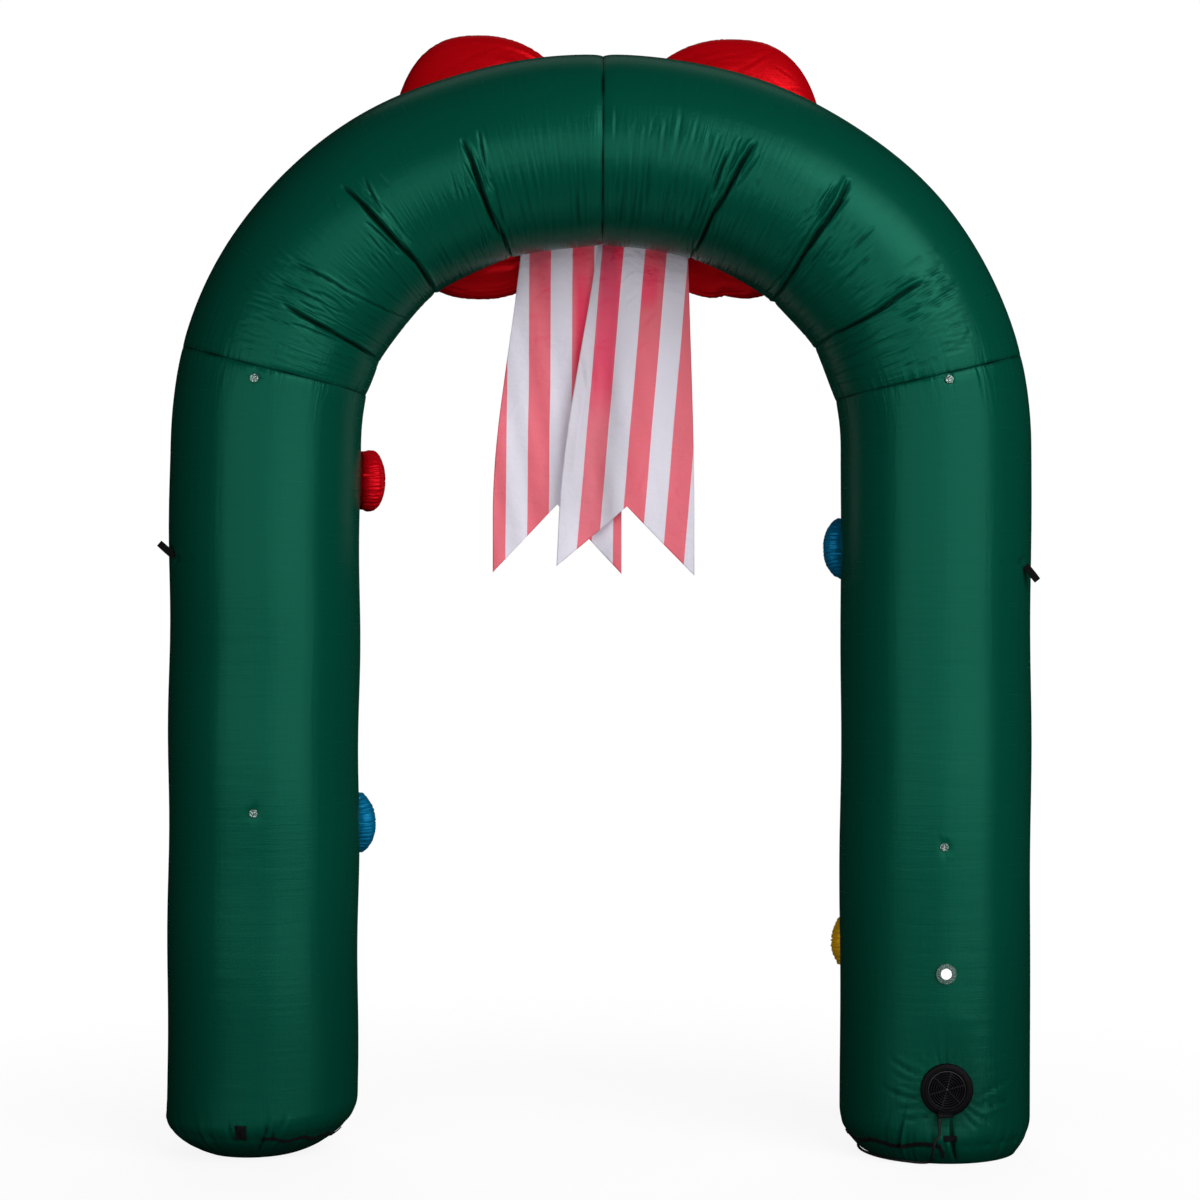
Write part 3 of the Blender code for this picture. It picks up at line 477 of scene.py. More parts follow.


def taffeta(name, deep, pale, roughness, satin, by_chart=True, gloss=0.075):
    """Satin polyester: a fine plain weave with slubs along the weft, and puckers where it is marked.

    Its threads shine in their own colour, the more so the higher satin is.
    """
    material, tree, shader = new_finish(name)
    if by_chart:
        place = place_along(tree)
    else:
        body = place_on(tree)
        axes = shader_node(tree, "ShaderNodeSeparateXYZ", {0: body}).outputs
        slanted = calc(tree, "ADD", axes[0], calc(tree, "MULTIPLY", axes[1], 0.8))
        place = shader_node(tree, "ShaderNodeCombineXYZ", {0: slanted, 1: axes[2]}).outputs[0]
    sides = shader_node(tree, "ShaderNodeSeparateXYZ", {0: place})
    thread = math.tau / WEAVE_PITCH
    warp = calc(tree, "SINE", calc(tree, "MULTIPLY", sides.outputs[0], thread))
    weft = calc(tree, "SINE", calc(tree, "MULTIPLY", sides.outputs[1], thread))
    weave = calc(tree, "MULTIPLY", calc(tree, "MULTIPLY", warp, weft), 0.000015)
    slubs = streaks(tree, place, (9.0, 420.0), 3.0)
    ripples = streaks(tree, place, (5.0, 55.0), 2.0)
    warps = streaks(tree, place, (60.0, 3.0), 2.0)
    pucker = marked(tree, "pucker")
    cinch = marked(tree, "cinch")
    puckers = calc(tree, "MULTIPLY", streaks(tree, place, (120.0, 14.0), 2.0), pucker)
    cinches = calc(tree, "MULTIPLY", streaks(tree, place, (11.0, 125.0), 2.5), cinch)
    height = total(
        tree,
        weave,
        calc(tree, "MULTIPLY", slubs, 0.00020),
        calc(tree, "MULTIPLY", ripples, 0.0004),
        calc(tree, "MULTIPLY", warps, 0.0004),
        calc(tree, "MULTIPLY", puckers, 0.0040),
        calc(tree, "MULTIPLY", cinches, 0.0030),
    )
    raise_surface(tree, shader, height)
    patches = streaks(tree, place, (3.0, 2.2), 3.0)
    share = calc(tree, "MULTIPLY", calc(tree, "ADD", slubs, patches), 0.5)
    cloth = blended(tree, share, deep, pale)
    # The crease mark paints shade into the colour: darker in creases and seams, and on the legs low down and
    # round the fan.
    painted_crease_shade = marked(tree, "crease")
    painted_shade_share = calc(tree, "MULTIPLY", painted_crease_shade, CREASE_SHADE, use_clamp=True)
    colour_by(tree, shader, painted_shade_share, cloth, [c * CREASE_DARK for c in deep])
    roughen(tree, shader, slubs, 0.10, roughness - 0.05)
    shader.inputs["Metallic"].default_value = satin
    shader.inputs["Specular Tint"].default_value = (*[0.4 + 0.5 * c / max(pale) for c in pale], 1)
    shader.inputs["Sheen Weight"].default_value = 0.004
    shader.inputs["Sheen Roughness"].default_value = 0.4
    shader.inputs["Specular IOR Level"].default_value = gloss
    return material


green_taffeta = taffeta("green_taffeta", (0.0004, 0.0415, 0.0245), (0.0006, 0.0530, 0.0320), 0.255, 0.215)

for side, word in SIDES:
    if side > 0:
        bearings = spaced(((-8, 1.55), (62, 0.72), (118, 1.55), (352, 1)))
    else:
        bearings = spaced(((-8, 1.4), (352, 1)))
    u = bearings * DEGREE_ROUND
    height = foot_height(side, bearings)
    # crease holds the painted shade of each vertex, which the cloth's colour takes.
    places, chart, pucker, cinch, crease = [], [], [], [], []
    for rise in np.radians(np.linspace(0, 90, 30)):
        z = height * (1 - np.cos(rise))
        hem = math.sin(rise)
        swell = leg_relief(side, u, z, 1.0) * hem**1.5
        places.append(held_leg_skin(side, z, bearings, swell, hem))
        chart.append(np.stack([u, z - 0.10 * (1 - hem)], -1))
        pucker.append(0.10 + 0.55 * np.exp(-z / 0.05))
        cinch.append(0.04 + 0 * u)
        crease.append(leg_painted_shade(side, u, z, 1.0))
    steps = ((0.0, 0.0045), (0.17, 0.0068), (0.78, 0.0048), (0.86, 0.0070), (1.0, 1))
    for share in spaced(steps)[1:]:
        z = height + (SPRING_Z - height) * share
        to_seam = SPRING_Z + seam_turn(side, bearings) * METRES_PER_DEGREE - z
        places.append(held_leg_skin(side, z, bearings, leg_relief(side, u, z, to_seam)))
        chart.append(np.stack([u, z], -1))
        near_blower = np.hypot(u - 90 * DEGREE_ROUND, z - BLOWER_Z) if side > 0 else 1.0 + 0 * u
        at_tether = np.hypot(u - TETHER[side][0] * DEGREE_ROUND, (z - TETHER[side][1]) * 1.6)
        pucker.append(0.05 + 0.55 * np.exp(-z / 0.05) + 0.5 * np.exp(-to_seam / 0.04)
                      + 0.4 * np.exp(-((near_blower / 0.10) ** 2)))
        cinch.append(0.06 + 0.30 * np.exp(-((at_tether / 0.07) ** 2)) + 0.10 * np.exp(-to_seam / 0.10))
        crease.append(leg_painted_shade(side, u, z, to_seam))
    for share in spaced(((0.0, 0.030), (0.8, 0.016), (1.0, 1)))[1:]:
        bend = seam_turn(side, bearings) * share
        z = SPRING_Z + bend * METRES_PER_DEGREE
        to_seam = seam_turn(side, bearings) * METRES_PER_DEGREE * (1 - share)
        swell = leg_relief(side, u, z, to_seam)
        gap = HALF_GAP_TURN * smooth_step((share - 0.9) / 0.1)
        places.append(bend_skin(side, bend - gap, bearings, swell))
        chart.append(np.stack([u, z], -1))
        pucker.append(0.05 + 0.5 * np.exp(-to_seam / 0.04) + 0 * u)
        cinch.append(0.06 + 0.10 * np.exp(-to_seam / 0.10))
        crease.append(leg_painted_shade(side, u, z, to_seam))
    mesh = wrap_cloth(f"{word}_leg_cloth", places, chart, pucker=pucker, cinch=cinch, crease=crease)
    leg = add_piece(f"{word}_leg_cloth", mesh, green_taffeta, "green_taffeta", f"{word}_leg")

# ---- The shoulders ----
# Two curved lengths of the same cloth make the top of the arch. Each is sewn to its leg and to
# the other at the middle. The inside of the bend is too long for its curve, so it buckles there.
APEX_SEAM_X = 0.006
MIDDLE_TURN = {side: 90 - side * math.degrees(math.atan2(APEX_SEAM_X, ARCH_RISE)) for side in (-1, 1)}
Crease = namedtuple("Crease", "outer_turn outer_bearing inner_turn inner_bearing depth width bow")
CREASES = {
    -1: (
        Crease(65.2, 80, 66, 112, 0.0110, 0.0031, 0.002),
        Crease(65.6, 96, 66.8, 150, 0.0150, 0.0040, -0.003),
        Crease(67, 128, 67.6, 182, 0.0110, 0.0037, 0.002),
        Crease(68.4, 78, 67.6, 104, 0.0059, 0.0021, 0.001),
        Crease(64.2, 92, 65.6, 116, 0.0043, 0.0018, -0.001),
        Crease(44.3, 70, 45.4, 102, 0.0120, 0.0031, 0.003),
        Crease(45.2, 86, 46.6, 136, 0.0150, 0.0040, -0.002),
        Crease(46.8, 116, 46.2, 184, 0.0120, 0.0040, 0.002),
        Crease(48, 74, 47, 98, 0.0059, 0.0021, -0.001),
        Crease(43.6, 96, 45, 124, 0.0051, 0.0021, 0.002),
        Crease(23.8, 88, 23.6, 124, 0.0110, 0.0034, -0.003),
        Crease(23.4, 110, 22.9, 176, 0.0100, 0.0037, 0.002),
        Crease(30.2, 80, 32, 122, 0.0068, 0.0023, 0.003),
        Crease(31.6, 112, 36.2, 170, 0.0051, 0.0023, -0.002),
        Crease(26.4, 82, 27.4, 112, 0.0047, 0.0021, 0.001),
        Crease(21.6, 100, 22.2, 132, 0.0043, 0.0021, 0.001),
    ),
    1: (
        Crease(62.4, 78, 63.6, 104, 0.0120, 0.0031, 0.002),
        Crease(63.5, 88, 65, 128, 0.0150, 0.0037, -0.003),
        Crease(64.8, 114, 66, 156, 0.0150, 0.0040, 0.003),
        Crease(66, 140, 67.2, 180, 0.0100, 0.0037, -0.002),
        Crease(66.4, 88, 66.8, 118, 0.0100, 0.0028, 0.001),
        Crease(61, 84, 62.4, 108, 0.0047, 0.0018, 0.001),
        Crease(46.2, 70, 45, 100, 0.0120, 0.0031, -0.003),
        Crease(44.9, 80, 44.2, 120, 0.0140, 0.0037, 0.003),
        Crease(45.6, 98, 43.8, 144, 0.0150, 0.0040, -0.002),
        Crease(43.9, 130, 42.8, 182, 0.0120, 0.0040, 0.002),
        Crease(47.4, 78, 46.6, 104, 0.0059, 0.0021, 0.001),
        Crease(42.4, 104, 42.2, 132, 0.0051, 0.0021, -0.001),
        Crease(26.3, 78, 26.2, 112, 0.0110, 0.0032, 0.004),
        Crease(26, 98, 27, 146, 0.0120, 0.0037, -0.003),
        Crease(26.9, 136, 27, 178, 0.0076, 0.0028, 0.002),
        Crease(38.4, 82, 38, 112, 0.0059, 0.0021, 0.001),
        Crease(35.4, 90, 34.6, 120, 0.0051, 0.0021, -0.001),
    ),
}


# Small folds: on the inside of the bend, over the leg seam, beside each large crease, near the top.
INNER_FOLDS, SEAM_FOLDS, SIDE_FOLDS, TOP_FOLDS = 150, 110, 5, 90


def small_creases(side):
    """The many short folds of a shoulder."""
    draw = random.Random(500 + side)
    folds = []

    def add(turn, outer, reach, lean, depth, width, bow=0.0):
        folds.append(Crease(turn + lean, outer, turn, outer + reach, depth, width, bow))

    amount = 1.0 if side > 0 else 0.7
    for _ in range(INNER_FOLDS):
        reach, lean = draw.uniform(14, 58), draw.uniform(-1.2, 1.2)
        add(draw.uniform(15, 87), draw.uniform(150, 192) - reach, reach, lean,
            draw.uniform(0.0006, 0.0024) * amount, 0.0022, lean / 900)
    for _ in range(SEAM_FOLDS):
        reach = draw.uniform(5, 17)
        turn = draw.uniform(14.0, 31.0)
        add(turn, 62 + 40 * draw.random() ** 1.4 - reach / 2 + (31 - turn) * 0.4, reach,
            draw.uniform(-0.4, 0.4), draw.uniform(0.0010, 0.0026) * amount**2, 0.0016, 0.001)
    for crease in CREASES[side]:
        for _ in range(SIDE_FOLDS):
            off = draw.uniform(0.8, 4.6) * draw.choice((-1, 1))
            middle = draw.uniform(crease.outer_bearing + 4, min(crease.inner_bearing, 150))
            reach = draw.uniform(7, 20)
            add(crease.outer_turn + off, middle - reach / 2, reach, -off * 0.16,
                draw.uniform(0.0008, 0.0024), 0.0018, draw.uniform(-0.001, 0.001))
    for _ in range(TOP_FOLDS):
        shallow = 0.9 if side > 0 else 0.4
        reach = draw.uniform(12, 44)
        add(draw.uniform(68, 88), draw.uniform(84, 140) - reach / 2, reach,
            draw.uniform(-0.4, 0.4), draw.uniform(0.0008, 0.0026) * shallow, 0.0020)
    return folds


def bearing_inward(bearing):
    """How far round from the outside a bearing lies, from 0 to 180 either way."""
    return 180 - np.abs(180 - np.mod(bearing, 360))


def crease_hollow(bearing, turn, creases):
    """How far creases draw a shoulder's cloth in."""
    inward = bearing_inward(bearing)
    u, v = inward * DEGREE_ROUND, turn * METRES_PER_DEGREE
    inner_edge = 1 - 0.6 * np.exp(-(((inward - 180) / 26) ** 2))
    hollow = np.zeros_like(v)
    for crease in creases:
        start = (crease.outer_bearing * DEGREE_ROUND, crease.outer_turn * METRES_PER_DEGREE)
        end = (crease.inner_bearing * DEGREE_ROUND, crease.inner_turn * METRES_PER_DEGREE)
        hollow = hollow + inner_edge * fold(u, v, start, end, crease.depth, crease.width, crease.bow)
    return hollow


BULGE_DEPTH = 0.0040  # between one large crease and the next, on the inside of the bend


def shoulder_relief(side, bearing, turn, to_leg, to_middle):
    """Every swell and hollow of a shoulder's cloth, and how much painted shade it takes in creases and
    seams, from 0 to 1.
    """
    inward = bearing_inward(bearing)
    u, v = inward * DEGREE_ROUND, turn * METRES_PER_DEGREE
    swell = seam_draw(to_leg, bearing) + seam_draw(to_middle, 90)
    swell = swell + 0.0010 * ripple(v / 0.4 + u / 0.9, 13 + side, 4)
    swell = swell + seam_puckers(bearing * DEGREE_ROUND, to_leg, 23 + side)
    large = crease_hollow(bearing, turn, CREASES[side])
    small = crease_hollow(bearing, turn, small_creases(side))
    # Painted shade: darker in the large and small creases and along both seams.
    depth = smooth_step((-large - 0.0022) / 0.0034) + 0.35 * np.clip(-small / 0.0030, 0, 1)
    depth = depth + seam_shade(bearing * DEGREE_ROUND, to_leg)
    depth = depth + 1.6 * seam_shade(bearing * DEGREE_ROUND, to_middle)
    between = np.zeros_like(v)
    stops = sorted({round(c.inner_turn) for c in CREASES[side] if c.inner_bearing > 170})
    for low, high in zip([SEAM_TURN[side], *stops], [*stops, 89.5]):
        share = np.clip((turn - low) / (high - low), 0, 1)
        between = between + np.sin(np.pi * share) ** 0.8 * ((turn > low) & (turn < high))
    swell = swell + large + small + BULGE_DEPTH * (between - 0.5) * smooth_step((inward - 92) / 60)
    return swell, np.clip(depth, 0, 1)


def from_seams(side, bearing, turn):
    """How far a place on a shoulder is from the leg seam and from the middle seam, in metres."""
    to_leg = (turn - seam_turn(side, bearing)) * METRES_PER_DEGREE
    return to_leg, (MIDDLE_TURN[side] - turn) * METRES_PER_DEGREE


for side, word in SIDES:
    bearings = spaced(((-8, 2.4), (58, 1.05), (200, 1.6), (302, 2.4), (352, 1)))
    low, middle = SEAM_TURN[side], MIDDLE_TURN[side]
    stops = [(low, 0.15), (low + 1.0, 0.30), (21.5, 0.17), (28.2, 0.28 if side < 0 else 0.36), (42.0, 0.16),
             (49.0, 0.40), (61.0, 0.16), (69.0, 0.32), (middle - 1.0, 0.15), (middle, 1)]
    # crease holds the painted shade of each vertex, which the cloth's colour takes.
    places, chart, pucker, cinch, crease = [], [], [], [], []
    for nominal in spaced(stops):
        seam = seam_turn(side, bearings)
        turn = seam + (middle - seam) * (nominal - low) / (middle - low)
        to_leg, to_middle = from_seams(side, bearings, turn)
        swell, deep = shoulder_relief(side, bearings, turn, to_leg, to_middle)
        apart = HALF_GAP_TURN * (np.exp(-to_leg / 0.01) - 0.08 * np.exp(-to_middle / 0.01))
        places.append(bend_skin(side, turn + apart, bearings, swell))
        chart.append(np.stack([bearings * DEGREE_ROUND, SPRING_Z + turn * METRES_PER_DEGREE], -1))
        pucker.append(0.04 + 0.5 * np.exp(-to_leg / 0.04) + 0.10 * np.exp(-to_middle / 0.02))
        cinch.append(0.08 + 0.50 * smooth_step((bearing_inward(bearings) - 62) / 70) + 0 * turn)
        crease.append(deep)
    mesh = wrap_cloth(f"{word}_shoulder_cloth", places, chart, pucker=pucker, cinch=cinch, crease=crease)
    shoulder = add_piece(
        f"{word}_shoulder_cloth", mesh, green_taffeta, "green_taffeta", f"{word}_shoulder"
    )

# ---- The stitching ----
# Each join is lockstitched with dark green thread, one row on either side of it.
STITCH_LENGTH, STITCH_PITCH, STITCH_OFF_SEAM = 0.0042, 0.0062, 0.0045
THREAD_HALF_WIDTH, THREAD_HALF_HEIGHT = 0.0004, 0.00032


def plain_finish(name, deep, pale, roughness, grain=900.0, bump_height=0.0001, shine=0.10):
    """A plain material whose colour and surface are a little uneven."""
    material, tree, shader = new_finish(name)
    place = place_on(tree)
    fine = streaks(tree, place, (grain, grain, grain), 3.0)
    broad = streaks(tree, place, (grain / 14, grain / 14, grain / 14), 2.0)
    share = calc(tree, "MULTIPLY", calc(tree, "ADD", fine, broad), 0.5)
    colour_by(tree, shader, share, deep, pale)
    roughen(tree, shader, broad, 0.12, roughness - 0.06)
    raise_surface(tree, shader, calc(tree, "MULTIPLY", fine, bump_height))
    shader.inputs["Specular IOR Level"].default_value = shine
    return material


def facing(spots, ahead, beside):
    """Frames on a surface: x along it, y across, z out of it, from points and their neighbours."""
    along = ahead - spots
    along = along / np.linalg.norm(along, axis=-1, keepdims=True)
    out = np.cross(along, beside - spots)
    out = out / np.linalg.norm(out, axis=-1, keepdims=True)
    return along, np.cross(out, along), out


thread_finish = plain_finish(
    "green_thread", (0.0005, 0.014, 0.008), (0.0010, 0.028, 0.017), 0.7, shine=0.04
)
for side, word in SIDES:
    bm = bmesh.new()
    off_seam = STITCH_OFF_SEAM / METRES_PER_DEGREE
    for row in ("leg", "shoulder", "middle"):
        bearings = np.arange(0, 360, math.degrees(STITCH_PITCH / TUBE_RADIUS)) + (row == "leg") * 0.4
        lines = []
        for shift, turned in ((0.0, 0.0), (0.0, 0.3), (0.1, 0.0)):
            at = bearings + turned
            seam = seam_turn(side, at)
            if row == "leg":
                turn = seam - off_seam + shift
                z = SPRING_Z + turn * METRES_PER_DEGREE
                swell = leg_relief(side, at * DEGREE_ROUND, z, STITCH_OFF_SEAM + 0 * at)
            else:
                by_row = {"shoulder": seam + off_seam, "middle": MIDDLE_TURN[side] - off_seam + 0 * at}
                turn = by_row[row] + shift
                swell, _ = shoulder_relief(side, at, turn, *from_seams(side, at, turn))
            lines.append(bend_skin(side, turn, at, swell))
        for spot, x, y, z in zip(lines[0], *facing(*lines)):
            half_sizes = (x * STITCH_LENGTH / 2, y * THREAD_HALF_WIDTH, z * THREAD_HALF_HEIGHT)
            placed = Matrix(half_sizes).transposed().to_4x4()
            placed.translation = spot
            bmesh.ops.create_icosphere(bm, subdivisions=1, radius=1, matrix=placed)
    bmesh.ops.recalc_face_normals(bm, faces=bm.faces)
    mesh = mesh_from(f"{word}_stitches", bm)
    mesh.shade_smooth()
    add_piece(f"{word}_stitches", mesh, thread_finish, "green_taffeta")

# ---- The buttons and the valve ----
# Clear plastic discs hold the light string's clips inside. The valve is a clear ring
# with a milky cap, welded to the right leg above the fan.
BUTTON_RADIUS, BUTTON_TOP = 0.0088, 0.0040
VALVE_Z, VALVE_BEARING, VALVE_RADIUS, VALVE_BORE = 0.402, 90.7, 0.0215, 0.0118


def clear_plastic(name, tint, roughness, through, uneven=0.0008, painted_glints=0.0):
    """Moulded plastic that lets light through; its last argument is how strongly it is specked light and
    dark with painted glints.
    """
    material, tree, shader = new_finish(name)
    place = place_on(tree)
    flow = streaks(tree, place, (380.0, 380.0, 380.0), 3.0)
    # Painted glints: light and dark specks in the colour.
    glint_specks = calc(tree, "MULTIPLY_ADD", flow, 1 + 16 * painted_glints, -8.6 * painted_glints, use_clamp=True)
    dark, light = [c * (0.86 - painted_glints) for c in tint], [min(1, c * (1 + 3 * painted_glints)) for c in tint]
    colour_by(tree, shader, glint_specks, dark, light)
    roughen(tree, shader, flow, 0.2, roughness - 0.1)
    shader.inputs["Transmission Weight"].default_value = through
    shader.inputs["IOR"].default_value = 1.46
    dimpled = streaks(tree, place, (210.0, 210.0, 210.0), 4.0)
    raise_surface(tree, shader, calc(tree, "MULTIPLY", dimpled, uneven))
    return material


def crisp(mesh, least_angle):
    """Shades a mesh smooth, with sharp edges where its faces meet at more than an angle in degrees."""
    mesh.shade_smooth()
    mesh.set_sharp_from_angle(angle=math.radians(least_angle))
    return mesh


def turned_part(name, outline, place, steps=48):
    """A turned part: its outline of (radius, height) spun once about +Z, then set in place."""
    bm = bmesh.new()
    verts = [bm.verts.new((radius, 0, height)) for radius, height in outline]
    edges = [bm.edges.new(pair) for pair in zip(verts, verts[1:])]
    if outline[0][0] > 0:
        edges.append(bm.edges.new((verts[-1], verts[0])))
    bmesh.ops.spin(
        bm, geom=verts + edges, axis=(0, 0, 1), cent=(0, 0, 0), angle=math.tau, steps=steps, use_merge=True
    )
    bmesh.ops.remove_doubles(bm, verts=bm.verts, dist=0.00001)
    turn_outwards(bm)
    bmesh.ops.transform(bm, matrix=place, verts=bm.verts)
    return crisp(mesh_from(name, bm), 40)


def standing_on(side, z, bearing):
    """A place on the plain tube: +Z out of it, +Y up the cloth."""
    bearing = np.array([float(bearing)])
    if z < SPRING_Z:
        spot = leg_skin(side, z, bearing, 0.0)[0]
        above = leg_skin(side, z + 0.001, bearing, 0.0)[0]
        beside = leg_skin(side, z, bearing + 0.1, 0.0)[0]
    else:
        turn = 0.0
        while arch_line(side, turn)[1] < z:
            turn += 0.1
        spot = bend_skin(side, turn, bearing, 0.0)[0]
        above = bend_skin(side, turn + 0.1, bearing, 0.0)[0]
        beside = bend_skin(side, turn, bearing + 0.1, 0.0)[0]
    up, _, out = facing(spot, above, beside)
    axis = np.array([side * LEG_X[side], TUBE_Y, spot[2]])
    out = out if np.dot(out, spot - axis) > 0 else -out
    placed = Matrix((np.cross(up, out), up, out)).transposed().to_4x4()
    placed.translation = spot
    return placed


button_outline = [
    (0, BUTTON_TOP - 0.0006),
    (0.0016, BUTTON_TOP - 0.0005),
    (0.0022, BUTTON_TOP - 0.0014),
    (0.0056, BUTTON_TOP - 0.0016),
    (0.0064, BUTTON_TOP - 0.0003),
    (0.0072, BUTTON_TOP),
    (0.0082, BUTTON_TOP - 0.0003),
    (BUTTON_RADIUS, BUTTON_TOP - 0.0012),
    (BUTTON_RADIUS, 0.0006),
    (0.0074, -0.0014),
    (0, -0.0016),
]
button_plastic = clear_plastic("clear_button", (0.130, 0.190, 0.170), 0.20, 0.20, 0.0040, 0.7)
for node, side, z, bearing in (
    ("button_left_top", -1, 1.631, 87.2),
    ("button_left_low", -1, 0.734, 91.3),
    ("button_right_top", 1, 1.627, 86.0),
    ("button_right_low", 1, 0.664, 92.0),
):
    mesh = turned_part(node, button_outline, standing_on(side, z, bearing), steps=32)
    add_piece(f"{node}_disc", mesh, button_plastic, "clear_plastic", node)

valve_place = standing_on(1, VALVE_Z, VALVE_BEARING)
valve_outline = [
    (VALVE_BORE, 0.0044),
    (0.0126, 0.0052),
    (0.0142, 0.0052),
    (0.0148, 0.0040),
    (0.0176, 0.0036),
    (0.0186, 0.0046),
    (0.0204, 0.0044),
    (VALVE_RADIUS, 0.0030),
    (VALVE_RADIUS, 0.0004),
    (VALVE_BORE, 0.0004),
]
mesh = turned_part("valve_ring", valve_outline, valve_place)
valve_plastic = clear_plastic("clear_valve", (0.045, 0.100, 0.082), 0.22, 0.30, 0.0030, 0.25)
add_piece("valve_ring_part", mesh, valve_plastic, "clear_plastic", "valve_ring")
cap_outline = [
    (0, 0.0040),
    (0.0030, 0.0040),
    (0.0036, 0.0032),
    (0.0080, 0.0030),
    (0.0088, 0.0038),
    (0.0108, 0.0036),
    (0.0115, 0.0028),
    (0.0115, 0.0004),
    (0, 0.0004),
]
mesh = turned_part("valve_cap", cap_outline, valve_place)
milky_plastic = clear_plastic("milky_cap", (0.95, 0.96, 0.95), 0.30, 0.0)
add_piece("valve_cap", mesh, milky_plastic, "clear_plastic", "valve_window")

# ---- The fan's intake ----
# A black moulded ring clamps the cloth round the fan, with a ribbed grille in it. The clip
# under it grips the neck of the cloth where the lead comes out.
RING_RADIUS, RING_BORE, RING_THICK = 0.0545, 0.0400, 0.007
MOULDED_GRAIN = 1500.0
intake_face = Matrix.Translation((BLOWER_X, BLOWER_FLAT_Y - SEAM_GAP, BLOWER_Z)) @ Matrix.Rotation(
    math.radians(90), 4, "X"
)
moulded_black = plain_finish(
    "moulded_black", (0.0010, 0.0009, 0.0012), (0.0022, 0.0020, 0.0026), 0.40, MOULDED_GRAIN, shine=0.035
)
# The grille's ribs are a lighter copy of the ring's black, a painted highlight; its grooves take
# grille_shadow, painted shade.
grille_painted_lit = plain_finish(
    "grille_painted_lit", (0.0050, 0.0047, 0.0060), (0.0085, 0.0080, 0.0102), 0.36, MOULDED_GRAIN, shine=0.14
)
grille_shadow = plain_finish(
    "grille_shadow", (0.0010, 0.0009, 0.0012), (0.0016, 0.0015, 0.0019), 0.9, MOULDED_GRAIN, shine=0.02
)
ring_outline = [
    (RING_BORE, RING_THICK - 0.0020),
    (RING_BORE + 0.0008, RING_THICK - 0.0006),
    (RING_BORE + 0.0022, RING_THICK),
    (RING_BORE + 0.0050, RING_THICK - 0.0004),
    (RING_BORE + 0.0056, RING_THICK - 0.0016),
    (RING_RADIUS - 0.0030, RING_THICK - 0.0026),
    (RING_RADIUS - 0.0012, RING_THICK - 0.0034),
    (RING_RADIUS, RING_THICK - 0.0052),
    (RING_RADIUS, 0),
    (RING_BORE, 0),
]
mesh = turned_part("intake_ring", ring_outline, intake_face, steps=96)
add_piece("intake_ring", mesh, moulded_black, "black_plastic", "blower_flange")

GRILLE_RADIUS, GRILLE_TOP, GRILLE_RIBS, GROOVE_DEPTH, RIB_ROUND = 0.0393, 0.0040, 7, 0.0028, 0.0003
SPOKES, SPOKE_WIDTH, SPOKE_THICK, SPOKE_MIDDLE = 6, 0.0013, 0.0026, GRILLE_TOP - 0.0030
SPOKE_FROM, SPOKE_TO = 0.005, GRILLE_RADIUS - 0.001
step = GRILLE_RADIUS / (GRILLE_RIBS + 0.9)
grille_outline = [(0, GRILLE_TOP), (step * 0.5, GRILLE_TOP), (step * 0.62, GRILLE_TOP - 0.0004)]
for rib in range(GRILLE_RIBS):
    edge = step * (rib + 0.9)
    grille_outline += [
        (edge - step * 0.24, GRILLE_TOP - GROOVE_DEPTH),
        (edge + step * 0.50, GRILLE_TOP - GROOVE_DEPTH),
        (edge + step * 0.56, GRILLE_TOP - RIB_ROUND),
        (edge + step * 0.64, GRILLE_TOP),
        (edge + step * 0.72, GRILLE_TOP - RIB_ROUND),
    ]
grille_outline[-1] = (GRILLE_RADIUS, GRILLE_TOP - 2 * RIB_ROUND)
grille_outline += [(GRILLE_RADIUS, 0), (0, 0)]
mesh = turned_part("intake_grille", grille_outline, intake_face, steps=96)
groove_y = BLOWER_FLAT_Y - SEAM_GAP - GRILLE_TOP + 0.0022
# Faces deep in the grooves take the painted shade of grille_shadow.
for face in mesh.polygons:
    face.material_index = int(face.center.y > groove_y)
bm = bmesh.new()
bm.from_mesh(mesh)
for spoke in range(SPOKES):
    bar = bmesh.ops.create_cube(bm, size=1)["verts"]
    turn = Matrix.Rotation(math.radians(360 / SPOKES * spoke + 15), 4, "Z")
    shape = Matrix.Diagonal((SPOKE_TO - SPOKE_FROM, SPOKE_WIDTH, SPOKE_THICK, 1))
    slide = Matrix.Translation(((SPOKE_FROM + SPOKE_TO) / 2, 0, SPOKE_MIDDLE))
    bmesh.ops.transform(bm, matrix=intake_face @ turn @ slide @ shape, verts=bar)
bm.to_mesh(mesh)
bm.free()
add_piece("intake_grille", mesh, grille_painted_lit, "black_plastic", "blower_grille")
mesh.materials.append(grille_shadow)

CLIP_SIZE, CLIP_ROUND, CLIP_RIM, CLIP_HOLLOW = Vector((0.033, 0.0045, 0.0150)), 0.0014, 0.0024, 0.0012
CLIP_SPOT = Vector((0.7140, BLOWER_FLAT_Y - 2 * SEAM_GAP - RING_THICK - CLIP_SIZE.y / 2, 0.1126))


def round_edges(bm, edges, radius, segments):
    """Rounds edges of a moulded piece."""
    bmesh.ops.bevel(
        bm, geom=edges, offset=radius, segments=segments, profile=0.5, affect="EDGES", material=-1
    )


bm = bmesh.new()
bmesh.ops.create_cube(bm, size=1)
bmesh.ops.scale(bm, vec=CLIP_SIZE, verts=bm.verts)
round_edges(bm, bm.edges[:], CLIP_ROUND, 3)
face = min(bm.faces, key=lambda f: f.calc_center_median().y)
bmesh.ops.inset_individual(bm, faces=[face], thickness=CLIP_RIM)
bmesh.ops.translate(bm, vec=(0, CLIP_HOLLOW, 0), verts=face.verts)
bmesh.ops.translate(bm, vec=CLIP_SPOT, verts=bm.verts)
mesh = crisp(mesh_from("intake_clip", bm), 40)
add_piece("intake_clip", mesh, moulded_black, "black_plastic", "blower_clip")

